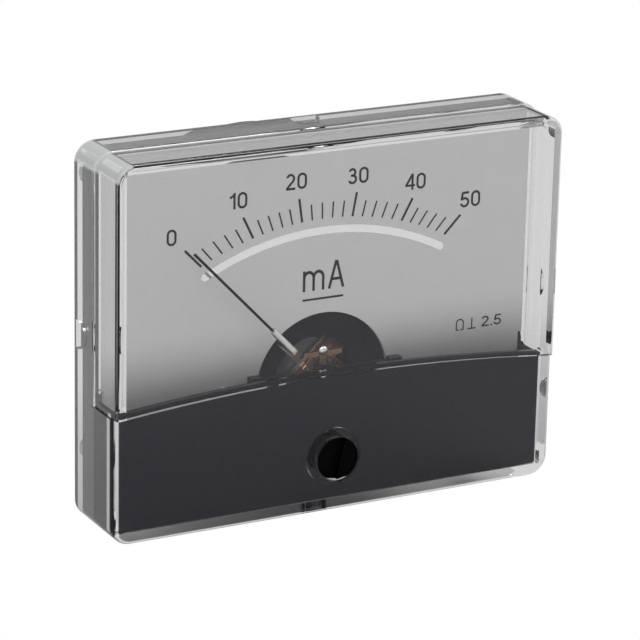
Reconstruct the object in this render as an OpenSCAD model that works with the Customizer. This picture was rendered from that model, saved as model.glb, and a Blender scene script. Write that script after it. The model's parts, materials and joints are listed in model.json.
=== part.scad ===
// Analog panel meter with a moving-coil movement, a mirror scale and a zero adjuster.
// Millimetres. +Z is up, -Y faces the reader, and Y = 0 is the face that seats on the panel.
// The origin is where the barrel's axis meets that face.

/* [Front] */
// Width of the front cover
front_w = 60; // [58:1:68]
// Height of the front cover
front_h = 47; // [46:1:54]
// Radius of the cover's corners, seen from the front
corner_r = 2.5; // [2:0.25:3.5]
// Radius of the cover's front edges
edge_r = 0.6; // [0.3:0.1:0.8]
// Thickness of the cover's side walls
cover_wall = 1.2; // [1.1:0.1:1.6]
// Radius of the cover's inner corners
inner_r = 0.4; // [0.3:0.1:1]
// Thickness of the front face over the mask
face_wall = 1.6; // [1.2:0.1:1.8]
// Depth of the cover's lower block, from the panel
lower_depth = 10.8; // [10.8:0.2:13]
// How far the window stands in front of the lower block
window_step = 0.9; // [0.5:0.1:1.2]
// How far the window's sides are set in from the cover's outline
window_inset = 0.25; // [0.1:0.05:0.35]
// Thickness of the window over the dial
window_face = 2; // [1.6:0.1:2.2]
// Thickness of the window's left and right walls
window_wall = 1.7; // [1.4:0.1:1.8]
// Thickness of the window's top wall
window_top = 1.4; // [1.2:0.1:1.6]
// Depth of the cover's full-width rim behind the window
rim_depth = 5.4; // [4.8:0.2:6.4]
// Height of the arch between window and lower block, at its crown
arch_crown_z = -5.8; // [-6.4:0.1:-5]
// Radius of that arch
arch_r = 260; // [180:5:320]

/* [Base] */
// Thickness of the base flange
flange_h = 4.4; // [4:0.2:4.8]
// Height of the ridge that the dial lies on
dial_seat = 0.7; // [0.5:0.1:0.9]
// Thickness of the flange's floor
floor_t = 2.8; // [2.4:0.1:2.9]
// Thickness of the flange's rim
flange_wall = 2; // [1.9:0.1:2.2]
// Height of the rebate round the flange's rear edge
rebate_h = 1.1; // [0.8:0.1:1.4]
// Width of the rebate round the flange's rear edge
rebate_w = 1; // [0.6:0.1:1.4]
// Diameter of the barrel that passes through the panel
barrel_d = 37.6; // [37.2:0.2:39]
// Wall thickness of the barrel
barrel_wall = 1.6; // [1.3:0.1:1.7]
// Length of the barrel behind the panel
barrel_len = 17; // [17:0.5:22]
// Thickness of the barrel's end wall
end_wall = 1.8; // [1.4:0.2:2.2]

/* [Panel studs] */
// Distance of a panel stud's axis from the edges of the front
stud_inset = 6; // [6:0.25:6.5]
// Diameter of a panel stud
stud_d = 3; // [2.5:0.5:3]
// Length of a panel stud behind the panel
stud_len = 8; // [8:1:18]

/* [Terminals] */
// Spacing of the two terminals
terminal_dx = 19; // [17:0.5:21]
// Height of the terminals above the barrel's axis
terminal_z = 6; // [5:0.5:7]
// Diameter of a terminal stud
terminal_d = 4; // [3:0.5:4.5]
// Length of a terminal stud behind the barrel
terminal_len = 11; // [9:0.5:16]

/* [Dial] */
// Thickness of the dial plate
dial_t = 0.5; // [0.4:0.1:0.8]
// Radius of the round opening in the dial
opening_r = 9; // [8.6:0.1:9.4]
// Mean radius of the mirror strip
mirror_r = 34.5; // [33:0.1:35]
// Width of the mirror strip
mirror_w = 1; // [0.8:0.1:1.4]
// Half the angle that the mirror strip spans
mirror_half_angle = 27.6; // [24:0.1:28.5]
// Distance of each dial screw from the centre line
dial_screw_x = 13.4; // [13:0.1:14]

/* [Movement] */
// Drop of the pointer's axis below the barrel's axis
pivot_drop = 8.5; // [8.3:0.1:8.6]
// Deflection from zero to full scale, in degrees
full_scale = 88; // [80:2:90]
// Length of the pointer from its axis to its tip
pointer_len = 27; // [24:0.2:27.4]
// Height of the pointer above the dial
pointer_lift = 2.8; // [2.4:0.1:3]
// Diameter of the pointer needle
needle_d = 0.34; // [0.25:0.01:0.45]
// Diameter of the sleeve that holds the needle
sleeve_d = 0.84; // [0.7:0.02:0.9]
// Radius of the magnet core
core_r = 4.6; // [4.4:0.05:4.7]
// Room behind the core for the rear bridge
core_room = 8; // [8:0.2:9]
// Air gap between the core and the coil former
coil_gap = 0.4; // [0.3:0.05:0.45]
// Build-up of the coil's winding
winding_t = 0.7; // [0.5:0.05:0.75]
// Width of the coil's winding
winding_w = 2.6; // [2:0.1:2.8]
// Inner radius of the yoke ring
yoke_in_r = 6.5; // [6.5:0.05:6.6]
// Outer radius of the yoke ring
yoke_out_r = 7.9; // [7.7:0.05:8]

/* [Zero adjuster] */
// Height of the adjuster's axis above the lower edge of the front
zero_rise = 6.6; // [6.4:0.1:7.4]
// Diameter of the adjuster's head
zero_head_d = 5.4; // [5:0.1:5.8]
// Throw of the adjuster's eccentric pin
zero_throw = 1.3; // [1:0.1:1.4]
// Width of the screwdriver slot
slot_w = 1.2; // [0.8:0.1:1.4]
// Turn of the slot from upright, in degrees
slot_turn = 13; // [0:1:45]

/* [Hidden] */
$fn = 64;

// Overshoot of a cutting shape past the face that it cuts
cut = 1;
// Gap between parts that only pass each other, and overlap where one piece is built up
gap = 0.1;
// Radial clearance of a running fit
fit = 0.05;
// Radial clearance of a seat or a screw in its own thread
seat = 0.02;

// Levels along Y, from the panel towards the reader
flange_y = -flange_h;
dial_back_y = flange_y - dial_seat;
dial_y = dial_back_y - dial_t;
frame_back_y = -floor_t;
frame_t = 0.8;
spring_gap = 0.25;
frame_y = frame_back_y - frame_t;
bridge_t = 0.8;
bridge_back_y = dial_y - 2 * gap;
bridge_y = bridge_back_y - bridge_t;
regulator_t = 0.4;
regulator_y = bridge_back_y + gap;
regulator_back_y = regulator_y + regulator_t;
spring_w = 0.3;
spring_y = regulator_back_y + spring_gap;
arm_t = 0.3;
arm_y = spring_y + spring_w + spring_gap;
pointer_y = dial_y - pointer_lift;
window_depth = lower_depth + window_step;
face_back_y = face_wall - lower_depth;
mask_t = 1;
mask_y = face_back_y + fit;
mask_back_y = mask_y + mask_t;

// Front cover
inner_w = front_w - 2 * cover_wall;
inner_h = front_h - 2 * cover_wall;
window_in_w = front_w - 2 * (window_inset + window_wall);
window_in_h = front_h - 2 * (window_inset + window_top);
sill = 0.4;
arch_cz = arch_crown_z - arch_r;
notch_r = 1.75;
notch_depth = cover_wall / 2;
notch_y = -0.6;
nib_r = notch_r - 2 * gap;
boss_r = zero_head_d / 2 + 0.95;
boss_len = 1.6;
boss_back_y = face_back_y + boss_len;

// Base
cover_gap = 0.15;
nib_proud = notch_depth + cover_gap;
nib_back_y = -rebate_h - gap;
nib_flat = 0.5;
flange_w = inner_w - 2 * cover_gap;
flange_d = inner_h - 2 * cover_gap;
flange_r = inner_r - cover_gap;
barrel_r = barrel_d / 2;
bore_r = barrel_r - barrel_wall;
end_y = barrel_len - end_wall;
ridge_out = 1.2;
ridge_w = 1;
barrel_chamfer = 0.8;
bore_chamfer = 0.6;
pad_r = 5.2;
pad_h = 0.6;
mark_size = 2.4;
mark_stroke = 0.6;
mark_h = 0.3;
mark_drop = pad_r + mark_size;
stud_x = front_w / 2 - stud_inset;
stud_z = front_h / 2 - stud_inset;
stud_tip = 0.4;
stud_shank_r = stud_d / 2 + 0.3;
stud_head_r = stud_shank_r + 0.3;
stud_head_h = 1;

// Mask
mask_w = inner_w - 0.2;
mask_bottom_z = gap - inner_h / 2;
wing_t = 1;
arch_side_z = arch_cz + sqrt(arch_r * arch_r - mask_w * mask_w / 4);
wing_z = arch_side_z - 2 * gap;
wing_fillet = 1.5;

// Dial
dial_top_z = inner_h / 2 - 0.2;
dial_bottom_z = -12.5;
dial_w = inner_w - 0.6;
dial_low_w = mask_w - 2 * wing_t - 0.2;
dial_low_z = wing_z + wing_fillet + 0.4;
scale_cz = -23.66;
mirror_back_t = 0.3;
mirror_margin = 0.7;

// Movement
pivot_z = -pivot_drop;
rest_angle = -full_scale / 2;
disc_r = opening_r + 1.7;
disc_hole_r = core_r + 0.8;
cup_in_r = yoke_out_r + fit;
cup_out_r = cup_in_r + 0.65;
yoke_y = 0;
yoke_len = barrel_len - core_room - 1;
cup_y = yoke_y + yoke_len + 0.2;
ear_w = 42;
ear_h = 4.8;
frame_screw_x = 19;
frame_screw_r = 0.9;
frame_head_r = 1.6;
frame_head_h = 0.8;
frame_head_slot = 0.4;
frame_slot_turn = 30;
post_r = 2;
dial_screw_r = 1;
dial_head_r = 1.9;
dial_head_h = 1;
dial_head_dome = 2.4;
dial_head_slot = 0.5;
pillar_r = 1.1;
pillar_x = disc_hole_r + 2;
bridge_screw_r = 0.5;
bridge_head_r = 0.95;
bridge_head_h = 0.5;
bridge_head_slot = 0.3;
bridge_slot_turn = 60;
bridge_w = 2 * opening_r + 2.6;
bridge_top_z = pivot_z + 2;
bridge_bottom_z = pivot_z - 1.7;
bridge_tab_w = 1.6;
bridge_tab_h = 1.2;
bridge_tab_step = 0.35;
bridge_hub_r = 2.6;
jewel_r = 1;
jewel_slot = 0.4;
jewel_slot_depth = 0.4;
jewel_cup_r = 0.55;
jewel_cup_depth = 0.6;
jewel_reach = 0.9;
jewel_tail = 0.3;
lock_nut_af = 3.2;
lock_nut_t = 0.6;
former_t = 0.3;
former_w = winding_w + 0.4;
former_in = core_r + coil_gap;
former_out = former_in + former_t;
winding_out = former_out + winding_t;
core_y = -0.6;
core_chamfer = 0.3;
strut_half = 1.2;
strut_in = 0.5;
core_len = barrel_len - core_room;
core_end_y = core_y + core_len;
coil_y = core_y - coil_gap - former_t - winding_t;
coil_end_y = core_end_y + coil_gap + former_t + winding_t;
plate_t = 0.3;
plate_w = 4.4;
plate_h = 2.2;
plate_r = 0.6;
tail_weight_r = 0.95;
tail_r = disc_hole_r - 0.3 - tail_weight_r;
side_r = 2.9;
side_weight_r = 0.5;
side_weight_h = 0.6;
staff_r = 0.35;
staff_cone = 0.5;
staff_tip_r = 0.06;
collet_r = 0.8;
collet_h = 0.6;
arm_w = 0.7;
arm_end = 0.3;
riser_r = 7.8;
riser_t = 0.3;
sleeve_len = 4.1;
spring_in_r = 1.05;
spring_out_r = 3.3;
spring_turns = 4;
spring_t = 0.1;
rear_spring_room = 1.1;
rear_bridge_room = 1.2;
rear_spring_y = coil_end_y + rear_spring_room;
rear_bridge_y = rear_spring_y + rear_bridge_room;
rear_bridge_t = 0.8;
rear_bridge_half = 1.6;
rear_post_r = 0.3;
rear_post_x = 0.5;
rear_post_z = spring_out_r + 0.35;
rear_leg_x = (yoke_in_r + yoke_out_r) / 2;
rear_leg_t = 1;

// Zero adjuster
zero_z = zero_rise - front_h / 2;
zero_y = -lower_depth + 0.2;
zero_seat_y = -lower_depth + 1.1;
zero_shaft_r = 1.9;
zero_collar_r = 2.6;
zero_collar_t = 0.6;
zero_pin_r = 0.5;
fork_reach = pivot_z - zero_z + zero_throw;
fork_gap = 2 * zero_pin_r + 0.16;
fork_wall = 0.7;
fork_len = 2.6;
fork_end = 1;
hub_r = 2;
stem_w = 0.9;
tab_w = 5.2;
tab_h = 0.6;
tab_z = spring_out_r + 0.2;
solder_post_w = 1;
solder_post_h = 1.1;
zero_slot_depth = 0.55;

// Terminals
terminal_x = terminal_dx / 2;
terminal_r = terminal_d / 2;
inner_head_r = terminal_r + 1.2;
inner_head_h = 1;
washer_t = 0.8;
lug_t = 0.5;
lug_w = 3;
lug_len = 9.5;
lug_hole_r = 0.8;
lug_ring_r = terminal_r + 1.7;
nut_t = 3.2;
nut_af = 7;
nut_chamfer = 0.5;
nut_corner = 0.6;
neck_r = terminal_r - 3 * gap;
washer_r = terminal_r + 2;
pad_y = barrel_len + pad_h;
washer_y = pad_y;
lug_y = washer_y + washer_t;
nut_y = lug_y + lug_t;
board_margin = 3.5;
board_h = 7.6;
board_t = 1;
board_r = 1;
resistor_r = 1.7;
resistor_margin = 4;
resistor_lead_r = 0.35;
resistor_lead = 1.2;

// ---------------------------------------------------------------- helpers

// Extrudes a shape drawn in X and Z from y0 back to y1
module along_y(y0, y1) {
    translate([0, y1, 0]) rotate([90, 0, 0]) linear_extrude(y1 - y0) children();
}

// Turns a profile of [radius, y] points about the Y axis
module turned(profile) {
    rotate([90, 0, 0]) rotate_extrude() polygon([for (p = profile) [p[0], -p[1]]]);
}

// A cylinder along Y
module rod(r, y0, y1) {
    translate([0, y1, 0]) rotate([90, 0, 0]) cylinder(r = r, h = y1 - y0);
}

// Both copies of a part that stands left and right of the centre line
module left_right(x, z = 0) {
    for (s = [-1, 1]) translate([s * x, 0, z]) children();
}

// Places a movement piece on the pointer's axis
module on_pivot() {
    translate([0, 0, pivot_z]) children();
}

// Places a piece on the pointer's axis and turns it to the zero mark
module at_rest() {
    on_pivot() rotate([0, rest_angle, 0]) children();
}

module rounded_rect(w, h, r) {
    union() {
        square([w - 2 * r, h], center = true);
        square([w, h - 2 * r], center = true);
        for (sx = [-1, 1], sy = [-1, 1])
            translate([sx * (w / 2 - r), sy * (h / 2 - r)]) circle(r);
    }
}

// Half section of a slab's rim: x runs out to the side, y runs to the front
module rim_section(r, depth, edge) {
    union() {
        square([r, depth - edge]);
        square([r - edge, depth]);
        translate([r - edge, depth - edge]) circle(edge);
    }
}

// A slab with round corners whose front edges are rounded too
module edged_slab(w, h, r, depth, edge) {
    cx = w / 2 - r;
    cz = h / 2 - r;
    union() {
        along_y(-depth, 0) square([2 * cx, 2 * cz], center = true);
        for (sx = [-1, 1], sz = [-1, 1])
            translate([sx * cx, 0, sz * cz])
                rotate([90, 0, 0]) rotate_extrude() rim_section(r, depth, edge);
        for (side = [0, 180])
            rotate([0, side, 0]) translate([cx, 0, -cz])
                linear_extrude(2 * cz) mirror([0, 1]) rim_section(r, depth, edge);
        for (side = [0, 180])
            rotate([0, side, 0]) translate([-cx, 0, cz]) rotate([90, 0, 90])
                linear_extrude(2 * cx) rotate(90) rim_section(r, depth, edge);
    }
}

// Everything below the arch, moved up by lift
module below_arch(lift = 0) {
    translate([0, arch_cz + lift]) circle(arch_r, $fn = 256);
}

// Hexagon across flats af, along Y
module hex_prism(af, y0, y1) {
    along_y(y0, y1) circle(af / sqrt(3), $fn = 6);
}

// A slotted cheese head whose top is at y0
module slotted_head(r, y0, y1, slot, turn = 0) {
    difference() {
        rod(r, y0, y1);
        rotate([0, turn, 0]) translate([-r - cut, y0 - cut, -slot / 2])
            cube([2 * (r + cut), cut + (y1 - y0) * 0.4, slot]);
    }
}

// ---------------------------------------------------------------- casing

module cover_outside() {
    edged_slab(front_w, front_h, corner_r, rim_depth, window_inset);
    intersection() {
        edged_slab(front_w, front_h, corner_r, lower_depth, edge_r);
        along_y(-lower_depth - cut, cut) below_arch();
    }
    difference() {
        edged_slab(front_w - 2 * window_inset, front_h - 2 * window_inset,
            corner_r - window_inset, window_depth, edge_r);
        along_y(-window_depth - cut, cut) below_arch();
    }
}

// Round-ended pocket inside the middle of one wall, open at the panel face
module rim_notch() {
    union() {
        translate([0, notch_y, 0]) cylinder(r = notch_r, h = notch_depth + gap);
        translate([-notch_r, notch_y, 0])
            cube([2 * notch_r, cut - notch_y, notch_depth + gap]);
    }
}

// Repeats a piece at the middle of each of the four sides, standing out of the side
module on_sides(half_w, half_h) {
    translate([0, 0, half_h]) children();
    rotate([0, 180, 0]) translate([0, 0, half_h]) children();
    rotate([0, 90, 0]) translate([0, 0, half_w]) children();
    rotate([0, -90, 0]) translate([0, 0, half_w]) children();
}

module front_cover() {
    color([0.86, 0.89, 0.9, 0.35]) difference() {
        union() {
            difference() {
                cover_outside();
                along_y(dial_y - gap, cut) rounded_rect(inner_w, inner_h, inner_r);
                along_y(face_back_y, cut) intersection() {
                    rounded_rect(inner_w, inner_h, inner_r);
                    below_arch(sill);
                }
                along_y(window_face - window_depth, dial_y) difference() {
                    rounded_rect(window_in_w, window_in_h, inner_r);
                    below_arch(sill - gap);
                }
                on_sides(inner_w / 2 - gap, inner_h / 2 - gap) rim_notch();
            }
            translate([0, 0, zero_z]) rod(boss_r, face_back_y - gap, boss_back_y);
        }
        translate([0, 0, zero_z]) {
            rod(zero_head_d / 2 + fit, -lower_depth - cut, zero_seat_y);
            rod(zero_shaft_r + fit, zero_seat_y - cut, boss_back_y + cut);
        }
    }
}

// Catch on the base that snaps into a pocket of the cover
module catch_nib() {
    intersection() {
        translate([0, notch_y, 0]) cylinder(r = nib_r, h = nib_proud);
        rotate([90, 0, 90]) linear_extrude(2 * nib_r, center = true)
            polygon([[nib_back_y, 0], [nib_back_y, nib_proud], [nib_back_y - nib_flat, nib_proud],
                [notch_y - nib_r, nib_proud / 3], [notch_y - nib_r, 0]]);
    }
}

module rear_housing() {
    color([0.16, 0.16, 0.17]) difference() {
        union() {
            difference() {
                union() {
                    along_y(flange_y, -rebate_h) rounded_rect(flange_w, flange_d, flange_r);
                    along_y(flange_y, 0)
                        rounded_rect(flange_w - 2 * rebate_w, flange_d - 2 * rebate_w, flange_r);
                }
                along_y(flange_y - cut, -floor_t)
                    square([flange_w - 2 * flange_wall, flange_d - 2 * flange_wall], center = true);
            }
            along_y(dial_back_y, flange_y) intersection() {
                difference() {
                    square([flange_w - 2 * ridge_out, flange_d - 2 * ridge_out], center = true);
                    square([flange_w - 2 * (ridge_out + ridge_w),
                        flange_d - 2 * (ridge_out + ridge_w)], center = true);
                }
                translate([-front_w / 2, dial_low_z + 2 * gap]) square([front_w, front_h]);
            }
            turned([[0, -floor_t], [barrel_r, -floor_t],
                [barrel_r, barrel_len - barrel_chamfer],
                [barrel_r - barrel_chamfer, barrel_len], [0, barrel_len]]);
            left_right(terminal_x, terminal_z) rod(pad_r, barrel_len - gap, pad_y);
            on_sides(flange_w / 2 - gap, flange_d / 2 - gap) catch_nib();
            terminal_marks();
        }
        turned([[0, flange_y - cut], [bore_r, flange_y - cut], [bore_r, end_y - bore_chamfer],
            [bore_r - bore_chamfer, end_y], [0, end_y]]);
        left_right(terminal_x, terminal_z) rod(neck_r + seat, 0, pad_y + cut);
        for (z = [-stud_z, stud_z])
            left_right(stud_x, z) rod(stud_shank_r + seat, -floor_t - cut, cut);
        left_right(frame_screw_x, pivot_z)
            rod(frame_screw_r - gap, -floor_t - cut, -floor_t / 4);
    }
}

// Raised polarity signs beside the terminals
module terminal_marks() {
    left_right(terminal_x, terminal_z - mark_drop)
        along_y(barrel_len - gap, barrel_len + mark_h)
            square([mark_size, mark_stroke], center = true);
    translate([-terminal_x, 0, terminal_z - mark_drop])
        along_y(barrel_len - gap, barrel_len + mark_h)
            square([mark_stroke, mark_size], center = true);
}

// Profile of a side wing in Y and Z, with its concave fillet against the base
module wing_profile() {
    back = flange_y - fit;
    difference() {
        polygon([
            [mask_back_y - gap, mask_bottom_z], [back, mask_bottom_z],
            [back, wing_z + wing_fillet], [back - wing_fillet, wing_z + wing_fillet],
            [back - wing_fillet, wing_z], [mask_back_y - gap, wing_z]
        ]);
        translate([back - wing_fillet, wing_z + wing_fillet]) circle(wing_fillet);
    }
}

module lower_mask() {
    color([0.2, 0.2, 0.22]) difference() {
        union() {
            along_y(mask_y, mask_back_y) intersection() {
                rounded_rect(mask_w, inner_h - 2 * gap, inner_r);
                below_arch(-fit);
            }
            intersection() {
                left_right(mask_w / 2 - wing_t / 2)
                    rotate([90, 0, 90]) linear_extrude(wing_t, center = true) wing_profile();
                along_y(mask_y, 0) rounded_rect(mask_w, inner_h - 2 * gap, inner_r);
            }
            along_y(mask_back_y - gap, flange_y - fit) translate([0, mask_bottom_z + wing_t / 2])
                square([mask_w - 2 * inner_r, wing_t], center = true);
        }
        translate([0, 0, zero_z]) rod(boss_r + gap, mask_y - cut, mask_back_y + cut);
    }
}

// ---------------------------------------------------------------- dial

module dial_plate() {
    color([0.7, 0.7, 0.7]) along_y(dial_y, dial_back_y) difference() {
        union() {
            translate([0, (dial_top_z + dial_low_z) / 2])
                rounded_rect(dial_w, dial_top_z - dial_low_z, inner_r / 2);
            translate([-dial_low_w / 2, dial_bottom_z])
                square([dial_low_w, dial_low_z - dial_bottom_z + 1]);
        }
        translate([0, pivot_z]) circle(opening_r);
        translate([-opening_r, dial_bottom_z - cut])
            square([2 * opening_r, pivot_z - dial_bottom_z + cut]);
        translate([0, scale_cz]) arc_band(mirror_w + 2 * seat, mirror_half_angle);
        for (s = [-1, 1]) translate([s * dial_screw_x, pivot_z]) circle(dial_screw_r + gap);
    }
}

// A curved band with round ends, centred on the mirror's radius
module arc_band(w, half) {
    far = 2 * mirror_r;
    union() {
        intersection() {
            difference() {
                circle(mirror_r + w / 2, $fn = 180);
                circle(mirror_r - w / 2, $fn = 180);
            }
            polygon([[0, 0], [-far * sin(half), far * cos(half)],
                [far * sin(half), far * cos(half)]]);
        }
        for (s = [-1, 1]) rotate(s * half) translate([0, mirror_r]) circle(w / 2);
    }
}

module scale_mirror() {
    color([0.85, 0.86, 0.87]) translate([0, 0, scale_cz]) {
        along_y(dial_y + fit, dial_back_y) arc_band(mirror_w, mirror_half_angle);
        along_y(dial_back_y, dial_back_y + mirror_back_t)
            arc_band(mirror_w + 2 * mirror_margin, mirror_half_angle);
    }
}

module dial_screws() {
    color([0.75, 0.75, 0.76]) left_right(dial_screw_x, pivot_z) union() {
        rod(dial_screw_r, dial_y - gap, frame_y + 2 * gap);
        difference() {
            intersection() {
                rod(dial_head_r, dial_y - dial_head_h, dial_y);
                translate([0, dial_y - dial_head_h + dial_head_dome, 0]) sphere(dial_head_dome);
            }
            translate([-dial_head_r, dial_y - dial_head_h - dial_head_slot, -dial_head_slot / 2])
                cube([2 * dial_head_r, 2 * dial_head_slot, dial_head_slot]);
        }
    }
}

// ---------------------------------------------------------------- fixed movement parts

module movement_frame() {
    color([0.09, 0.09, 0.1]) on_pivot() difference() {
        union() {
            along_y(frame_y, frame_back_y) union() {
                circle(disc_r);
                square([ear_w, ear_h], center = true);
            }
            rod(cup_out_r, frame_back_y - gap, cup_y);
            left_right(dial_screw_x) rod(post_r, dial_back_y, frame_back_y);
            left_right(pillar_x) rod(pillar_r, bridge_back_y, frame_back_y);
        }
        rod(disc_hole_r, frame_y - cut, frame_back_y + cut);
        rod(yoke_in_r + gap, frame_back_y, yoke_y + cut);
        rod(cup_in_r, yoke_y, cup_y + cut);
        left_right(dial_screw_x)
            rod(dial_screw_r + seat, dial_back_y - cut, frame_y + 3 * gap);
        left_right(pillar_x) rod(bridge_screw_r + seat, bridge_back_y - cut, frame_y);
        left_right(frame_screw_x) rod(frame_screw_r + gap, frame_y - cut, frame_back_y + cut);
    }
}

module frame_screws() {
    color([0.7, 0.7, 0.72]) left_right(frame_screw_x, pivot_z) union() {
        slotted_head(frame_head_r, frame_y - frame_head_h, frame_y, frame_head_slot, frame_slot_turn);
        rod(frame_screw_r - gap - seat, frame_y - gap, -floor_t / 4 - gap);
    }
}

module yoke_ring() {
    color([0.5, 0.5, 0.52]) on_pivot() along_y(yoke_y, yoke_y + yoke_len) difference() {
        circle(yoke_out_r);
        circle(yoke_in_r);
    }
}

module core_magnet() {
    color([0.3, 0.3, 0.31]) on_pivot()
        turned([[0, core_y], [core_r - core_chamfer, core_y], [core_r, core_y + core_chamfer],
            [core_r, core_end_y - core_chamfer], [core_r - core_chamfer, core_end_y],
            [0, core_end_y]]);
}

// Two non-magnetic blocks that hold the core in the yoke, above and below the coil's swing
module core_struts() {
    color([0.72, 0.6, 0.35]) on_pivot()
        along_y(yoke_y + strut_in, yoke_y + yoke_len - strut_in) intersection() {
            difference() {
                circle(yoke_in_r);
                circle(core_r);
            }
            square([2 * strut_half, 4 * yoke_in_r], center = true);
        }
}

module front_bridge() {
    color([0.07, 0.07, 0.08]) difference() {
        union() {
            along_y(bridge_y, bridge_back_y) union() {
                translate([-bridge_w / 2, bridge_bottom_z])
                    square([bridge_w, bridge_top_z - bridge_bottom_z]);
                translate([0, pivot_z]) circle(bridge_hub_r);
            }
            left_right((bridge_w - bridge_tab_w) / 2, bridge_top_z - bridge_tab_h / 4)
                along_y(bridge_y - bridge_tab_step, bridge_back_y)
                    square([bridge_tab_w, bridge_tab_h], center = true);
        }
        left_right(pillar_x, pivot_z)
            rod(bridge_screw_r + seat, bridge_y - cut, bridge_back_y + cut);
        on_pivot() rod(jewel_r + seat, bridge_y - cut, bridge_back_y + cut);
    }
}

module rear_bridge() {
    half = rear_bridge_half;
    color([0.78, 0.62, 0.32]) on_pivot() difference() {
        union() {
            translate([-rear_leg_x - rear_leg_t / 2, rear_bridge_y, -half])
                cube([2 * rear_leg_x + rear_leg_t, rear_bridge_t, 2 * half]);
            left_right(rear_leg_x) translate([-rear_leg_t / 2, yoke_y + yoke_len, -half])
                cube([rear_leg_t, rear_bridge_y - yoke_y - yoke_len + gap, 2 * half]);
            translate([0, 0, -rear_post_z])
                rod(rear_post_r, rear_spring_y - spring_w, rear_bridge_y + gap);
            translate([-rear_post_x, rear_bridge_y, -rear_post_z - rear_post_x])
                cube([2 * rear_post_x, rear_bridge_t, rear_post_z]);
        }
        rod(jewel_r + seat, rear_spring_y - cut, rear_bridge_y + rear_bridge_t + cut);
    }
}

module bridge_screws() {
    color([0.78, 0.66, 0.36]) left_right(pillar_x, pivot_z) union() {
        slotted_head(bridge_head_r, bridge_y - bridge_head_h, bridge_y,
            bridge_head_slot, bridge_slot_turn);
        rod(bridge_screw_r, bridge_y - gap, frame_y - 4 * gap);
    }
}

// A jewel screw whose slot is at y0 and whose cup opens at y1
module jewel_screw(y0, y1) {
    way = sign(y1 - y0);
    color([0.8, 0.66, 0.3]) on_pivot() difference() {
        rod(jewel_r, min(y0, y1), max(y0, y1));
        translate([-jewel_r - cut, y0 - jewel_slot_depth, -jewel_slot / 2])
            cube([2 * (jewel_r + cut), 2 * jewel_slot_depth, jewel_slot]);
        turned([[0, y1 - way * jewel_cup_depth], [jewel_cup_r, y1 + way * gap],
            [0, y1 + way * gap]]);
    }
}

module front_jewel_screw() {
    jewel_screw(bridge_y - jewel_reach, regulator_back_y + 2 * gap);
}

module rear_jewel_screw() {
    jewel_screw(rear_bridge_y + rear_bridge_t + jewel_reach, rear_bridge_y - jewel_tail);
}

module jewel_lock_nuts() {
    rear_y = rear_bridge_y + rear_bridge_t;
    color([0.75, 0.6, 0.28]) on_pivot() for (y = [bridge_y - lock_nut_t, rear_y]) difference() {
        hex_prism(lock_nut_af, y, y + lock_nut_t);
        rod(jewel_r + seat, y - cut, y + lock_nut_t + cut);
    }
}

// ---------------------------------------------------------------- regulator and springs

// Brass lever on the front jewel screw: a tab for the spring above, a fork for the pin below
module regulator() {
    fork_w = fork_gap + 2 * fork_wall;
    color([0.78, 0.6, 0.3]) on_pivot() union() {
        along_y(regulator_y, regulator_back_y) difference() {
            union() {
                circle(hub_r);
                translate([-stem_w / 2, 0]) square([stem_w, tab_z + gap]);
                translate([-tab_w / 2, tab_z]) square([tab_w, tab_h]);
                translate([-fork_wall, fork_len - fork_end - fork_reach - gap])
                    square([2 * fork_wall, fork_reach + fork_end - fork_len]);
                translate([-fork_w / 2, -fork_reach - fork_end]) square([fork_w, fork_len]);
            }
            circle(jewel_r + fit);
            translate([-fork_gap / 2, -fork_reach - 2 * fork_end])
                square([fork_gap, fork_len + fork_end - fork_wall]);
        }
        translate([-solder_post_w / 2, regulator_y, tab_z])
            cube([solder_post_w, spring_y + spring_w - regulator_y, solder_post_h]);
    }
}

// Flat spiral ribbon in X and Z
module spiral(r0, r1, turns, t) {
    steps = turns * 18;
    function at(i, side) = let (a = 360 * turns * i / steps + 90,
        r = r0 + (r1 - r0) * i / steps + side * t / 2) [r * cos(a), r * sin(a)];
    polygon(concat([for (i = [0:steps]) at(i, 1)], [for (i = [steps:-1:0]) at(i, -1)]));
}

module front_hairspring() {
    color([0.72, 0.45, 0.25]) on_pivot()
        along_y(spring_y, spring_y + spring_w)
            spiral(spring_in_r, spring_out_r + 2 * gap, spring_turns, spring_t);
}

module rear_hairspring() {
    color([0.72, 0.45, 0.25]) on_pivot()
        along_y(rear_spring_y - spring_w, rear_spring_y)
            rotate(180) spiral(spring_in_r, rear_post_z - gap, spring_turns, spring_t);
}

module zero_screw() {
    color([0.03, 0.03, 0.03]) translate([0, 0, zero_z]) union() {
        difference() {
            rod(zero_head_d / 2, zero_y, zero_seat_y);
            rotate([0, slot_turn, 0])
                translate([-slot_w / 2, zero_y - cut, -zero_head_d / 2 - cut])
                    cube([slot_w, cut + zero_slot_depth, zero_head_d + 2 * cut]);
        }
        rod(zero_shaft_r, zero_seat_y - gap, boss_back_y + gap);
        rod(zero_collar_r, boss_back_y + gap, boss_back_y + gap + zero_collar_t);
        translate([0, 0, -zero_throw])
            rod(zero_pin_r, boss_back_y + zero_collar_t, regulator_back_y + gap);
    }
}

// ---------------------------------------------------------------- moving parts

module coil_former() {
    color([0.75, 0.76, 0.78]) at_rest()
        translate([0, 0, -former_w / 2]) linear_extrude(former_w) difference() {
            translate([-former_out, core_y - coil_gap - former_t])
                square([2 * former_out, core_len + 2 * (coil_gap + former_t)]);
            translate([-former_in, core_y - coil_gap])
                square([2 * former_in, core_len + 2 * coil_gap]);
        }
}

module coil_winding() {
    r = winding_t;
    mid_y = (coil_y + coil_end_y) / 2;
    color([0.65, 0.3, 0.15]) at_rest()
        translate([0, mid_y, -winding_w / 2]) linear_extrude(winding_w) difference() {
            rounded_rect(2 * winding_out, coil_end_y - coil_y, r);
            square([2 * former_out, coil_end_y - coil_y - 2 * winding_t], center = true);
        }
}

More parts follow.
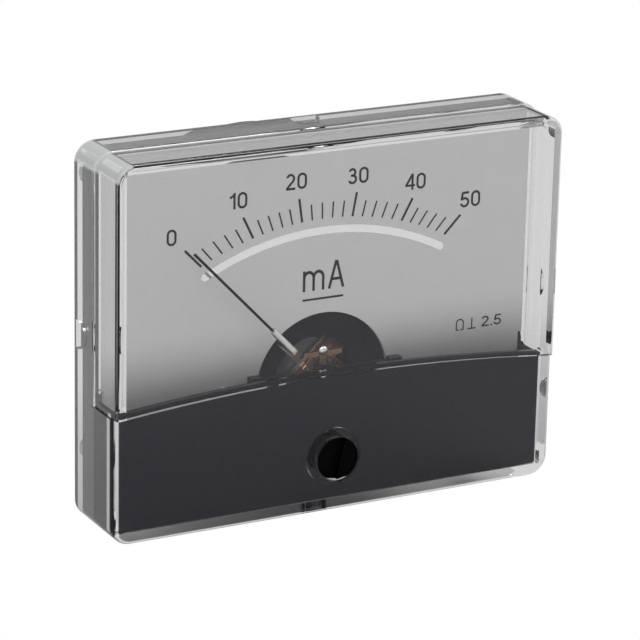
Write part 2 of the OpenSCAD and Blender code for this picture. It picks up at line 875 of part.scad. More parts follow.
module coil_end_plates() {
    color([0.8, 0.65, 0.35]) at_rest() {
        for (y = [coil_y - plate_t, coil_end_y])
            along_y(y, y + plate_t) rounded_rect(plate_w, plate_h, plate_r);
    }
}

module front_staff() {
    tip_y = regulator_back_y - gap;
    color([0.7, 0.71, 0.73]) on_pivot()
        turned([[0, coil_y - plate_t], [staff_r, coil_y - plate_t],
            [staff_r, tip_y + staff_cone], [staff_tip_r, tip_y], [0, tip_y]]);
}

module rear_staff() {
    tip_y = rear_bridge_y;
    color([0.7, 0.71, 0.73]) on_pivot()
        turned([[0, coil_end_y + plate_t], [staff_r, coil_end_y + plate_t],
            [staff_r, tip_y - staff_cone], [staff_tip_r, tip_y], [0, tip_y]]);
}

module pointer_arm() {
    color([0.55, 0.45, 0.32]) at_rest() difference() {
        union() {
            rod(collet_r, arm_y - gap, arm_y - gap + collet_h);
            translate([-arm_w / 2, arm_y, 0]) cube([arm_w, arm_t, riser_r + riser_t / 2]);
            translate([-arm_w / 2, pointer_y - sleeve_d / 2, riser_r - riser_t / 2])
                cube([arm_w, arm_y + arm_t - pointer_y + sleeve_d / 2, riser_t]);
            translate([-arm_w / 2, arm_y, -tail_r - arm_end])
                cube([arm_w, arm_t, tail_r + arm_end]);
            translate([-side_r - arm_end, arm_y, -arm_w / 2])
                cube([2 * (side_r + arm_end), arm_t, arm_w]);
        }
        rod(staff_r, arm_y - cut, arm_y + cut);
    }
}

module pointer_sleeve() {
    color([0.8, 0.78, 0.72]) at_rest()
        translate([0, pointer_y, riser_r + riser_t / 2])
            difference() {
                cylinder(d = sleeve_d, h = sleeve_len);
                translate([0, 0, sleeve_len / 2]) cylinder(d = needle_d, h = sleeve_len);
            }
}

module pointer_needle() {
    start = riser_r + riser_t / 2 + sleeve_len / 2;
    color([0.05, 0.05, 0.05]) at_rest() translate([0, pointer_y, start])
        cylinder(d = needle_d, h = pointer_len - start);
}

// Small weights on the tail and side arms that balance the pointer
module balance_weights() {
    y = arm_y + arm_t;
    color([0.8, 0.7, 0.45]) at_rest() {
        translate([0, 0, -tail_r]) rod(tail_weight_r, y, coil_y - 4 * gap, $fn = 32);
        left_right(side_r) rod(side_weight_r, y, y + side_weight_h, $fn = 24);
    }
}

// ---------------------------------------------------------------- fixings and terminals

module terminal_stud() {
    translate([0, 0, terminal_z]) union() {
        rod(neck_r, end_y - inner_head_h - board_t - stud_tip, nut_y + nut_t);
        rod(inner_head_r, end_y - inner_head_h, end_y);
        rod(terminal_r, nut_y + nut_t, barrel_len + terminal_len - stud_tip);
        rod(terminal_r - stud_tip, nut_y + nut_t, barrel_len + terminal_len);
    }
}

module terminal_stud_positive() {
    color([0.78, 0.64, 0.32]) translate([-terminal_x, 0, 0]) terminal_stud();
}

module terminal_stud_negative() {
    color([0.78, 0.64, 0.32]) translate([terminal_x, 0, 0]) terminal_stud();
}

module terminal_washers() {
    color([0.75, 0.75, 0.76]) left_right(terminal_x, terminal_z) difference() {
        rod(washer_r, washer_y, washer_y + washer_t);
        rod(terminal_r + gap, washer_y - cut, washer_y + washer_t + cut);
    }
}

module solder_lugs() {
    tip_z = lug_len - lug_w / 2;
    color([0.82, 0.8, 0.74]) left_right(terminal_x, terminal_z)
        along_y(lug_y, lug_y + lug_t) difference() {
            union() {
                circle(lug_ring_r);
                translate([-lug_w / 2, 0]) square([lug_w, tip_z]);
                translate([0, tip_z]) circle(lug_w / 2);
            }
            circle(terminal_r + gap);
            translate([0, tip_z]) circle(lug_hole_r);
        }
}

module terminal_nuts() {
    color([0.78, 0.64, 0.32]) left_right(terminal_x, terminal_z) difference() {
        intersection() {
            hex_prism(nut_af, nut_y, nut_y + nut_t);
            turned([[0, nut_y], [nut_af / 2, nut_y],
                [nut_af / 2 + nut_corner, nut_y + nut_chamfer],
                [nut_af / 2 + nut_corner, nut_y + nut_t - nut_chamfer],
                [nut_af / 2, nut_y + nut_t], [0, nut_y + nut_t]]);
        }
        rod(neck_r + seat, nut_y - cut, nut_y + nut_t + cut);
    }
}

module panel_studs() {
    color([0.72, 0.72, 0.73]) for (z = [-stud_z, stud_z]) left_right(stud_x, z) union() {
        rod(stud_d / 2, 0, stud_len - stud_tip);
        rod(stud_d / 2 - stud_tip, 0, stud_len);
        rod(stud_shank_r, -floor_t - gap, 0);
        rod(stud_head_r, -floor_t - stud_head_h, -floor_t);
    }
}

module shunt_board() {
    y1 = end_y - inner_head_h;
    color([0.5, 0.36, 0.2]) along_y(y1 - board_t, y1) difference() {
        translate([0, terminal_z])
            rounded_rect(terminal_dx + 2 * board_margin, board_h, board_r);
        for (s = [-1, 1]) translate([s * terminal_x, terminal_z]) circle(terminal_r + gap);
    }
}

module shunt_resistor() {
    len = terminal_dx - 2 * resistor_margin;
    y = end_y - inner_head_h - board_t - resistor_r;
    color([0.25, 0.4, 0.3]) translate([0, y, terminal_z]) rotate([0, 90, 0]) union() {
        cylinder(r = resistor_r, h = len, center = true);
        cylinder(r = resistor_lead_r, h = len + 2 * resistor_lead, center = true);
    }
}

rear_housing();
front_cover();
lower_mask();
dial_plate();
scale_mirror();
dial_screws();
movement_frame();
frame_screws();
yoke_ring();
core_magnet();
core_struts();
front_bridge();
rear_bridge();
bridge_screws();
front_jewel_screw();
rear_jewel_screw();
jewel_lock_nuts();
regulator();
front_hairspring();
rear_hairspring();
zero_screw();
coil_former();
coil_winding();
coil_end_plates();
front_staff();
rear_staff();
pointer_arm();
pointer_sleeve();
pointer_needle();
balance_weights();
terminal_stud_positive();
terminal_stud_negative();
terminal_washers();
solder_lugs();
terminal_nuts();
panel_studs();
shunt_board();
shunt_resistor();
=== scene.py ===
"""Looks of a moving-coil panel meter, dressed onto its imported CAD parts."""

import json
import logging
import math
from dataclasses import dataclass, field
from enum import Enum

import bmesh
import bpy
from mathutils import Matrix, Vector


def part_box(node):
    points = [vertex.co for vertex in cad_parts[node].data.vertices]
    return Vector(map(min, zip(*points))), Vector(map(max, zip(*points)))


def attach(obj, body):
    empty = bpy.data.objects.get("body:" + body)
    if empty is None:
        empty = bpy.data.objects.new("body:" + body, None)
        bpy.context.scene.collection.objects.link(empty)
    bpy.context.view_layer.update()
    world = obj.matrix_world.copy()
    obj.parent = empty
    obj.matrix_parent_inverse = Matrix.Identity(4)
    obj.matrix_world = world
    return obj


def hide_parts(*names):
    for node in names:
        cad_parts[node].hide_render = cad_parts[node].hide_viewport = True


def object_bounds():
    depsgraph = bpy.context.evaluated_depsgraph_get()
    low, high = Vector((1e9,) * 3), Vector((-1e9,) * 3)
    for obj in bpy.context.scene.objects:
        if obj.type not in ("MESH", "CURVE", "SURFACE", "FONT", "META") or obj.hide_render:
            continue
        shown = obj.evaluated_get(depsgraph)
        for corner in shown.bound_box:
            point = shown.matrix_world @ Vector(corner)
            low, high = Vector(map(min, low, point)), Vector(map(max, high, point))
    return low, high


LOG = logging.getLogger("panel_meter")
MM = 0.001
MERGE = 1e-7
Colour = tuple[float, float, float]
Place = tuple[float, float, float]
Socket = bpy.types.NodeSocket

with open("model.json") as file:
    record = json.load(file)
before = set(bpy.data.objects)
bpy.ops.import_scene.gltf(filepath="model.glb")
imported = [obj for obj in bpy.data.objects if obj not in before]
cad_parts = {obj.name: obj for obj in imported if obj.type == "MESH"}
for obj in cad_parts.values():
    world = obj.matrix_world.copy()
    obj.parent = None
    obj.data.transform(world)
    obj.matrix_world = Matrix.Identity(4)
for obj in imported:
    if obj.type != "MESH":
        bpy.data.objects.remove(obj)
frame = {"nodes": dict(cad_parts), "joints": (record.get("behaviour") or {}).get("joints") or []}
cad_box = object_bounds()


# ------------------------------------------------------------------ material bench


class Bench:
    """A material's node tree, with short calls that add and join its nodes.

    Attributes:
        material: The material being made.
        coords: Object coordinates, in metres.
    """

    NOISE_LOW = 0.3
    NOISE_HIGH = 0.7

    def __init__(self, name: str) -> None:
        """Starts an empty tree with an output and Object coordinates.

        Args:
            name: The material's name.
        """
        self.material = bpy.data.materials.new(name)
        self.material.use_nodes = True
        self.tree = self.material.node_tree
        self.tree.nodes.clear()
        self.output = self.tree.nodes.new("ShaderNodeOutputMaterial")
        self.coords = self.tree.nodes.new("ShaderNodeTexCoord").outputs["Object"]

    def add(self, kind: str, **values: object) -> bpy.types.Node:
        """Adds a node and sets its properties or input values.

        Args:
            kind: The node's type name.
            **values: Properties of the node, or inputs by name with _ for a space.

        Returns:
            The new node.
        """
        node = self.tree.nodes.new(kind)
        for key, value in values.items():
            if hasattr(node, key):
                setattr(node, key, value)
            else:
                node.inputs[key.replace("_", " ")].default_value = value
        return node

    def join(self, out: Socket, into: Socket) -> None:
        """Links an output to an input."""
        self.tree.links.new(out, into)

    def mapped(self, **values: object) -> Socket:
        """Gives the Object coordinates after a Mapping node.

        Args:
            **values: The Mapping node's inputs by name.

        Returns:
            The changed coordinates.
        """
        node = self.add("ShaderNodeMapping", **values)
        self.join(self.coords, node.inputs["Vector"])
        return node.outputs["Vector"]

    def axis(self, name: str) -> Socket:
        """Gives one Object coordinate, in metres.

        Args:
            name: X, Y or Z.

        Returns:
            The coordinate.
        """
        split = self.add("ShaderNodeSeparateXYZ")
        self.join(self.coords, split.inputs["Vector"])
        return split.outputs[name]

    def maths(
        self, operation: str, first: Socket, second: Socket | float | None = None
    ) -> Socket:
        """Does a sum on one or two values.

        Args:
            operation: The Math node's operation.
            first: The first value.
            second: The second value, as an output or a number.

        Returns:
            The result.
        """
        node = self.add("ShaderNodeMath", operation=operation)
        self.join(first, node.inputs[0])
        if isinstance(second, Socket):
            self.join(second, node.inputs[1])
        elif second is not None:
            node.inputs[1].default_value = second
        return node.outputs["Value"]

    def noise(self, feature_mm: float, detail: float = 3.0, coords: Socket | None = None) -> Socket:
        """Adds a noise whose blotches are about feature_mm across.

        Args:
            feature_mm: Size of the noise's features, in millimetres.
            detail: Octaves of finer noise.
            coords: Coordinates to use in place of the Object coordinates.

        Returns:
            The noise's factor.
        """
        node = self.add("ShaderNodeTexNoise", Scale=1 / (feature_mm * MM), Detail=detail)
        self.join(self.coords if coords is None else coords, node.inputs["Vector"])
        return node.outputs["Fac"]

    def spread(self, fac: Socket, low: float, high: float) -> Socket:
        """Maps the range that most of a noise lies in onto low to high.

        Args:
            fac: The noise's factor.
            low: Value at its low end.
            high: Value at its high end.

        Returns:
            The mapped value.
        """
        node = self.add("ShaderNodeMapRange", From_Min=self.NOISE_LOW, From_Max=self.NOISE_HIGH)
        node.inputs["To Min"].default_value = low
        node.inputs["To Max"].default_value = high
        self.join(fac, node.inputs["Value"])
        return node.outputs["Result"]

    def ramp(self, place: Socket, start: float, end: float, low: float, high: float) -> Socket:
        """Makes a value that changes smoothly along a coordinate.

        Args:
            place: The coordinate, in metres.
            start: Where the change starts, in metres.
            end: Where it ends, in metres.
            low: Value before the change.
            high: Value after it.

        Returns:
            The value.
        """
        node = self.add(
            "ShaderNodeMapRange",
            interpolation_type="SMOOTHSTEP",
            From_Min=start,
            From_Max=end,
            To_Min=low,
            To_Max=high,
        )
        self.join(place, node.inputs["Value"])
        return node.outputs["Result"]

    def blend(self, fac: Socket, a: Colour, b: Colour) -> Socket:
        """Mixes two colours by a factor.

        Args:
            fac: Share of the second colour.
            a: First colour.
            b: Second colour.

        Returns:
            The mixed colour.
        """
        node = self.add("ShaderNodeMix", data_type="RGBA")
        sockets = [s for s in node.inputs if s.type == "RGBA"]
        sockets[0].default_value = (*a, 1)
        sockets[1].default_value = (*b, 1)
        self.join(fac, node.inputs["Factor"])
        return [s for s in node.outputs if s.type == "RGBA"][0]

    def bump(self, height: Socket, depth_mm: float, strength: float = 1.0) -> Socket:
        """Turns a height into a bumped normal.

        Args:
            height: The height pattern, from 0 to 1.
            depth_mm: Depth of the relief, in millimetres.
            strength: How much of the bump is used.

        Returns:
            The normal.
        """
        node = self.add("ShaderNodeBump", Distance=depth_mm * MM, Strength=strength)
        self.join(height, node.inputs["Height"])
        return node.outputs["Normal"]

    def mix(self, fac: Socket, first: Socket, second: Socket) -> Socket:
        """Mixes two shaders.

        Args:
            fac: Share of the second shader.
            first: The first shader.
            second: The second shader.

        Returns:
            The mixed shader.
        """
        node = self.add("ShaderNodeMixShader")
        for place, out in enumerate((fac, first, second)):
            self.join(out, node.inputs[place])
        return node.outputs["Shader"]

    def close(self, shader: Socket) -> bpy.types.Material:
        """Joins the shader to the output and returns the material."""
        self.join(shader, self.output.inputs["Surface"])
        return self.material

    def coat(self, shader: bpy.types.Node, **links: Socket) -> bpy.types.Material:
        """Joins patterns to a shader and the shader to the output.

        Args:
            shader: The shader's node.
            **links: Outputs to join, by the input's name with _ for a space.

        Returns:
            The finished material.
        """
        for key, out in links.items():
            self.join(out, shader.inputs[key.replace("_", " ")])
        return self.close(shader.outputs["BSDF"])


def shade_range(colour: Colour, change: float) -> tuple[Colour, Colour]:
    """Gives a darker and a lighter version of a colour.

    Args:
        colour: The middle colour.
        change: Relative change to either side.

    Returns:
        The darker and the lighter colour.
    """
    dark = tuple(c * (1 - change) for c in colour)
    light = tuple(min(1.0, c * (1 + change)) for c in colour)
    return dark, light


# ------------------------------------------------------------------ finishes


@dataclass(frozen=True)
class MouldedPlastic:
    """Opaque moulded plastic, with a faint tool texture and uneven gloss."""

    name: str
    colour: Colour
    roughness: float = 0.4
    grain_mm: float = 0.12
    relief_mm: float = 0.004
    change: float = 0.15
    shine: float = 0.5
    uneven: float = 0.15
    tone_mm: float = 6.0
    gloss_mm: float = 2.5
    detail: int = 4
    ior: float = 1.5

    def material(self) -> bpy.types.Material:
        """Builds the plastic's node material.

        Returns:
            The finished material.
        """
        bench = Bench(self.name)
        shader = bench.add(
            "ShaderNodeBsdfPrincipled", IOR=self.ior, Specular_IOR_Level=self.shine
        )
        rough, uneven = self.roughness, self.uneven
        return bench.coat(
            shader,
            Base_Color=bench.blend(
                bench.noise(self.tone_mm, self.detail), *shade_range(self.colour, self.change)
            ),
            Roughness=bench.spread(
                bench.noise(self.gloss_mm), rough * (1 - uneven), rough * (1 + uneven)
            ),
            Normal=bench.bump(bench.noise(self.grain_mm), self.relief_mm),
        )


@dataclass(frozen=True)
class ClearPlastic:
    """Clear moulded plastic, with a painted highlight of pale diffuse white in the outer skin of
    its upper corners, that lets shadow rays through.
    """

    name: str
    tint: Colour = (0.985, 0.985, 0.985)
    ior: float = 1.49
    ripple_mm: float = 14.0
    ripple_depth_mm: float = 0.003
    ripple: float = 0.15
    glint: Colour = (0.72, 0.71, 0.77)
    shadow: Colour = (0.94, 0.94, 0.94)
    corner_r: float = 2.5
    skin_mm: float = 0.5
    painted_corner_highlight: Colour = (0.68, 0.69, 0.69)
    painted_highlight_share: float = 0.75

    def material(self) -> bpy.types.Material:
        """Builds the clear plastic's node material.

        Returns:
            The finished material.
        """
        bench = Bench(self.name)
        shader = bench.add(
            "ShaderNodeBsdfPrincipled",
            Roughness=0.0,
            IOR=self.ior,
            Transmission_Weight=1.0,
            Base_Color=(*self.tint, 1),
            Specular_Tint=(*self.glint, 1),
        )
        waves = bench.noise(self.ripple_mm, 0)
        normal = bench.bump(waves, self.ripple_depth_mm, self.ripple)
        bench.join(normal, shader.inputs["Normal"])
        # Painted highlight: pale diffuse white mixed into the rounded upper corners, where those
        # corners catch the light.
        painted_corner_highlight = bench.add("ShaderNodeBsdfDiffuse", Color=(*self.painted_corner_highlight, 1))
        clear = bench.mix(self.corner(bench), shader.outputs["BSDF"], painted_corner_highlight.outputs["BSDF"])
        through = bench.add("ShaderNodeBsdfTransparent", Color=(*self.shadow, 1))
        path = bench.add("ShaderNodeLightPath").outputs
        either = bench.maths("MAXIMUM", path["Is Shadow Ray"], path["Is Diffuse Ray"])
        return bench.close(bench.mix(either, clear, through.outputs["BSDF"]))

    def corner(self, bench: Bench) -> Socket:
        """Finds the outer skin of the rounded upper corners.

        Args:
            bench: The material's node bench.

        Returns:
            The share of painted highlight, which is 0 on the flat walls.
        """
        hub = cad_box[1] - Vector((self.corner_r, 0, self.corner_r)) * MM
        across = bench.maths("SUBTRACT", bench.maths("ABSOLUTE", bench.axis("X")), hub.x)
        up = bench.maths("SUBTRACT", bench.axis("Z"), hub.z)
        out = bench.add("ShaderNodeCombineXYZ")
        bench.join(across, out.inputs["X"])
        bench.join(up, out.inputs["Z"])
        reach = bench.add("ShaderNodeVectorMath", operation="LENGTH")
        bench.join(out.outputs["Vector"], reach.inputs[0])
        inner_r = (self.corner_r - self.skin_mm) * MM
        skin = bench.maths("GREATER_THAN", reach.outputs["Value"], inner_r)
        share = bench.maths(
            "MULTIPLY",
            bench.ramp(across, 0, self.skin_mm * MM, 0, self.painted_highlight_share),
            bench.ramp(up, 0, self.skin_mm * MM, 0, 1),
        )
        return bench.maths("MULTIPLY", skin, share)


@dataclass(frozen=True)
class Enamel:
    """Flat enamel on sheet metal, with a fine orange-peel, and painted shade that darkens it
    towards its foot, where the mask stands in front of it.
    """

    name: str
    colour: Colour
    roughness: float = 0.5
    change: float = 0.02
    uneven: float = 0.08
    peel_mm: float = 0.25
    peel_depth_mm: float = 0.002
    painted_shade_low_mm: float = -8.0
    painted_shade_high_mm: float = 0.5
    painted_shade: float = 0.5
    tone_mm: float = 3.0
    tone_detail: int = 5
    gloss_mm: float = 1.2
    ior: float = 1.45

    def material(self) -> bpy.types.Material:
        """Builds the enamel's node material.

        Returns:
            The finished material.
        """
        bench = Bench(self.name)
        shader = bench.add("ShaderNodeBsdfPrincipled", IOR=self.ior)
        shaded = bench.add("ShaderNodeVectorMath", operation="SCALE")
        mottle = bench.noise(self.tone_mm, self.tone_detail)
        tone = bench.blend(mottle, *shade_range(self.colour, self.change))
        bench.join(tone, shaded.inputs[0])
        # Painted shade: the tone is scaled down towards the dial's foot, where the mask in front of
        # it shades it.
        low, high = self.painted_shade_low_mm * MM, self.painted_shade_high_mm * MM
        bench.join(bench.ramp(bench.axis("Z"), low, high, self.painted_shade, 1), shaded.inputs["Scale"])
        rough, uneven = self.roughness, self.uneven
        return bench.coat(
            shader,
            Base_Color=shaded.outputs["Vector"],
            Roughness=bench.spread(
                bench.noise(self.gloss_mm), rough * (1 - uneven), rough * (1 + uneven)
            ),
            Normal=bench.bump(bench.noise(self.peel_mm), self.peel_depth_mm),
        )


@dataclass(frozen=True)
class Ink:
    """Screen-printed ink, slightly uneven in cover."""

    name: str
    colour: Colour = (0.008, 0.008, 0.009)
    shine: float = 0.2
    change: float = 0.3
    roughness: float = 0.45
    tone_mm: float = 0.4
    tone_detail: int = 4
    grain_mm: float = 0.15
    relief_mm: float = 0.001
    ior: float = 1.45

    def material(self) -> bpy.types.Material:
        """Builds the ink's node material.

        Returns:
            The finished material.
        """
        bench = Bench(self.name)
        shader = bench.add(
            "ShaderNodeBsdfPrincipled",
            Roughness=self.roughness,
            IOR=self.ior,
            Specular_IOR_Level=self.shine,
        )
        cover = bench.noise(self.tone_mm, self.tone_detail)
        return bench.coat(
            shader,
            Base_Color=bench.blend(cover, *shade_range(self.colour, self.change)),
            Normal=bench.bump(bench.noise(self.grain_mm), self.relief_mm),
        )


@dataclass(frozen=True)
class MaskPlate:
    """Plate printed black on its face, with its side edges left unprinted; their pale grey is
    painted light that stands in for the light showing through those edges.
    """

    name: str
    colour: Colour
    # Pale grey of the side edges: painted light, standing in for the light that shows through them.
    edge: Colour = (0.6, 0.6, 0.6)
    roughness: float = 0.6
    shine: float = 0.04
    pale_edge_mm: float = 0.02
    thickness_mm: float = 1.0
    swell_mm: float = 5.0
    swell_detail: int = 1
    relief_mm: float = 0.001
    ior: float = 1.5
    box: tuple[Vector, Vector] = field(default_factory=lambda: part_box("lower_mask"))

    def material(self) -> bpy.types.Material:
        """Builds the plate's node material.

        Returns:
            The finished material.
        """
        bench = Bench(self.name)
        shader = bench.add(
            "ShaderNodeBsdfPrincipled",
            IOR=self.ior,
            Roughness=self.roughness,
            Specular_IOR_Level=self.shine,
        )
        low, high = self.box
        # The side edges of the plate's front get the pale grey: painted light, not the plate's own
        # colour.
        out = bench.maths("ABSOLUTE", bench.axis("X"))
        far = bench.maths("GREATER_THAN", out, high.x - self.pale_edge_mm * MM)
        near = bench.maths("LESS_THAN", bench.axis("Y"), low.y + self.thickness_mm * MM)
        return bench.coat(
            shader,
            Base_Color=bench.blend(bench.maths("MULTIPLY", far, near), self.colour, self.edge),
            Normal=bench.bump(bench.noise(self.swell_mm, self.swell_detail), self.relief_mm),
        )


class Tooling(Enum):
    """How a metal surface was worked, which sets the marks on it."""

    ROLLED = "rolled"
    TURNED = "turned"
    CAST = "cast"


@dataclass(frozen=True)
class Metal:
    """Bare or plated metal with marks of how it was worked."""

    name: str
    colour: Colour
    roughness: float = 0.28
    tooling: Tooling = Tooling.ROLLED
    stain: Colour = (0.25, 0.2, 0.15)
    stained: float = 0.12
    grain_mm: float = 0.08
    grain_detail: int = 2
    grain_depth_mm: float = 0.004
    grain_strength: float = 0.6
    stain_mm: float = 1.6
    stain_detail: int = 5
    gloss_mm: float = 0.8
    gloss_detail: int = 4
    gloss_spread: tuple[float, float] = (0.75, 1.3)
    cast_mm: float = 0.35
    cast_detail: int = 6
    cast_depth_mm: float = 0.03
    cast_strength: float = 0.7

    def material(self) -> bpy.types.Material:
        """Builds the metal's node material.

        Returns:
            The finished material.
        """
        bench = Bench(self.name)
        stains = bench.noise(self.stain_mm, self.stain_detail)
        patches = bench.spread(stains, 0.0, self.stained)
        gloss = tuple(self.roughness * share for share in self.gloss_spread)
        return bench.coat(
            bench.add("ShaderNodeBsdfPrincipled", Metallic=1.0),
            Base_Color=bench.blend(patches, self.colour, self.stain),
            Roughness=bench.spread(bench.noise(self.gloss_mm, self.gloss_detail), *gloss),
            Normal=self.marks(bench),
        )

    def marks(self, bench: Bench) -> Socket:
        """Makes the bump that the tooling left.

        Args:
            bench: The material's node bench.

        Returns:
            The bumped normal.
        """
        if self.tooling is Tooling.CAST:
            pits = bench.noise(self.cast_mm, self.cast_detail)
            return bench.bump(pits, self.cast_depth_mm, self.cast_strength)
        stretch = {Tooling.ROLLED: (1, 1, 0.06), Tooling.TURNED: (0.05, 1, 0.05)}[self.tooling]
        grain = bench.noise(self.grain_mm, self.grain_detail, bench.mapped(Scale=stretch))
        return bench.bump(grain, self.grain_depth_mm, self.grain_strength)


@dataclass(frozen=True)
class MirrorStrip:
    """Silvered strip with a trace of haze."""

    name: str
    colour: Colour = (0.93, 0.94, 0.94)
    silver: float = 0.72
    clear_roughness: float = 0.03
    hazy_roughness: float = 0.09
    change: float = 0.03
    tone_mm: float = 2.0
    haze_mm: float = 0.9

    def material(self) -> bpy.types.Material:
        """Builds the mirror's node material.

        Returns:
            The finished material.
        """
        bench = Bench(self.name)
        return bench.coat(
            bench.add("ShaderNodeBsdfPrincipled", Metallic=self.silver),
            Base_Color=bench.blend(
                bench.noise(self.tone_mm), *shade_range(self.colour, self.change)
            ),
            Roughness=bench.spread(
                bench.noise(self.haze_mm), self.clear_roughness, self.hazy_roughness
            ),
        )


@dataclass(frozen=True)
class WoundWire:
    """Layers of enamelled wire, seen as fine ridges along the coil."""

    name: str
    colour: Colour
    wire_mm: float = 0.12
    waves_per_wire: float = 0.32
    coil_deg: float = 45.0
    change: float = 0.45
    relief_mm: float = 0.04
    metallic: float = 0.7
    roughness: float = 0.35
    lacquer: float = 0.6
    wander: float = 0.4

    def material(self) -> bpy.types.Material:
        """Builds the winding's node material.

        Returns:
            The finished material.
        """
        bench = Bench(self.name)
        shader = bench.add(
            "ShaderNodeBsdfPrincipled",
            Metallic=self.metallic,
            Roughness=self.roughness,
            Coat_Weight=self.lacquer,
        )
        ridges = bench.add(
            "ShaderNodeTexWave",
            bands_direction="Z",
            Scale=self.waves_per_wire / (self.wire_mm * MM),
            Distortion=self.wander,
        )
        turned = bench.mapped(Rotation=(0, math.radians(self.coil_deg), 0))
        bench.join(turned, ridges.inputs["Vector"])
        height = ridges.outputs["Fac"]
        return bench.coat(
            shader,
            Base_Color=bench.blend(height, *shade_range(self.colour, self.change)),
            Normal=bench.bump(height, self.relief_mm),
        )


@dataclass(frozen=True)
class FibreBoard:
    """Phenolic paper board, mottled along its fibres."""

    name: str
    colour: Colour
    fibre_mm: float = 0.4
    stretch: Place = (0.2, 1, 1)
    change: float = 0.5
    relief_mm: float = 0.01
    roughness: float = 0.45
    detail: int = 6

    def material(self) -> bpy.types.Material:
        """Builds the board's node material.

        Returns:
            The finished material.
        """
        bench = Bench(self.name)
        fibres = bench.noise(self.fibre_mm, self.detail, bench.mapped(Scale=self.stretch))
        return bench.coat(
            bench.add("ShaderNodeBsdfPrincipled", Roughness=self.roughness),
            Base_Color=bench.blend(fibres, *shade_range(self.colour, self.change)),
            Normal=bench.bump(fibres, self.relief_mm),
        )


Finish = (
    MouldedPlastic | ClearPlastic | Enamel | Ink | MaskPlate
    | Metal | MirrorStrip | WoundWire | FibreBoard
)

CASE_BLACK = MouldedPlastic("case_black", (0.014, 0.014, 0.015), 0.34, 0.16, 0.006)
MASK_BLACK = MaskPlate("mask_black", (0.0008, 0.0006, 0.0035))
KNOB_BLACK = MouldedPlastic("adjuster_black", (0.001, 0.001, 0.001), 0.7, 0.3, 0.001, 0.1, 0.04)
FRAME_BLACK = MouldedPlastic("frame_black", (0.002, 0.002, 0.002), 0.6, 0.15, 0.006, 0.1, 0.06)
BRIDGE_BLACK = MouldedPlastic("bridge_black", (0.006, 0.006, 0.006), 0.35, 0.1, 0.003)
CLEAR = ClearPlastic("clear_cover")
# The dial enamel, with painted shade that brings it down to 0.47 of its colour at its foot.
DIAL = Enamel("dial_enamel", (0.545, 0.545, 0.545), painted_shade=0.47)
INK = Ink("scale_ink")
NEEDLE_LACQUER = Ink("needle_lacquer", (0.001, 0.001, 0.001), 0.05)
MIRROR = MirrorStrip("scale_mirror")
PLATED_STEEL = Metal("plated_steel", (0.62, 0.63, 0.64), 0.3, Tooling.TURNED, (0.3, 0.3, 0.3))
SOFT_IRON = Metal("soft_iron", (0.42, 0.42, 0.43), 0.38, Tooling.TURNED, (0.2, 0.15, 0.1))
MAGNET_ALLOY = Metal("magnet_alloy", (0.28, 0.28, 0.29), 0.5, Tooling.CAST, (0.12, 0.12, 0.12))
BRASS = Metal("brass", (0.74, 0.55, 0.26), 0.26, Tooling.ROLLED, (0.35, 0.22, 0.08))
AGED_BRASS = Metal("aged_brass", (0.42, 0.29, 0.15), 0.4, Tooling.ROLLED, (0.15, 0.09, 0.05), 0.3)
SPRING_BRONZE = Metal("spring_bronze", (0.86, 0.66, 0.54), 0.3, Tooling.ROLLED)
SOLDER = Metal("solder", (0.86, 0.86, 0.85), 0.3, Tooling.CAST, (0.6, 0.6, 0.6))
ALUMINIUM = Metal("aluminium_sheet", (0.78, 0.78, 0.77), 0.32, Tooling.ROLLED, (0.4, 0.4, 0.4))
ARM_METAL = Metal("pointer_arm_metal", (0.6, 0.46, 0.34), 0.3, Tooling.ROLLED)
PIVOT_STEEL = Metal("pivot_steel", (0.66, 0.67, 0.69), 0.12, Tooling.TURNED, (0.4, 0.4, 0.4))
TINNED = Metal("tinned_brass", (0.72, 0.71, 0.68), 0.36, Tooling.CAST, (0.5, 0.48, 0.42))
COPPER_COIL = WoundWire("copper_coil", (0.15, 0.045, 0.03))
BOARD = FibreBoard("phenolic_board", (0.3, 0.17, 0.07))
RESISTOR = MouldedPlastic("resistor_lacquer", (0.08, 0.24, 0.16), 0.3, 0.3, 0.01)


# ------------------------------------------------------------------ mesh bench

CORNERS = ((-1, -1), (-1, 1), (1, -1), (1, 1))


def matrix_at(x: float, y: float, z: float) -> Matrix:
    """Gives a move to a place in millimetres."""
    return Matrix.Translation(Vector((x, y, z)) * MM)


def pour(own: bmesh.types.BMesh, bm: bmesh.types.BMesh) -> None:
    """Adds a finished shape to a mesh and frees it.

    Args:
        own: The finished shape.
        bm: The mesh that takes it.
    """
    done = bpy.data.meshes.new("shape")
    own.to_mesh(done)
    own.free()
    bm.from_mesh(done)
    bpy.data.meshes.remove(done)


class Piece:
    """One finished mesh of the meter, made in a bmesh.

    Attributes:
        name: The piece's name.
        bm: The mesh while it is shaped, in metres, in the meter's own frame.
    """

    def __init__(self, name: str) -> None:
        """Starts an empty mesh.

        Args:
            name: The piece's name.
        """
        self.name = name
        self.bm = bmesh.new()

    def finish(
        self,
        finish: Finish,
        body: str,
        slot: str,
        replaces: tuple[str, ...] = (),
        smooth: float = 35.0,
    ) -> bpy.types.Object:
        """slot: The record's material slot that it stands for; not used.
            replaces: CAD nodes that it takes the place of.
            smooth: Edges flatter than this many degrees are shaded smooth.

        Returns:
            The new object.
        """
        bmesh.ops.recalc_face_normals(self.bm, faces=self.bm.faces)
        limit = math.radians(smooth)
        for face in self.bm.faces:
            face.smooth = True
        for edge in self.bm.edges:
            if len(edge.link_faces) == 2 and edge.calc_face_angle(0) > limit:
                edge.smooth = False
        mesh = bpy.data.meshes.new(self.name)
        self.bm.to_mesh(mesh)
        self.bm.free()
        mesh.materials.append(finish.material())
        piece = bpy.data.objects.new(self.name, mesh)
        bpy.context.scene.collection.objects.link(piece)
        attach(piece, body)
        if replaces:
            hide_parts(*replaces)
        LOG.info("%s: %d faces on %s", self.name, len(mesh.polygons), body)
        return piece


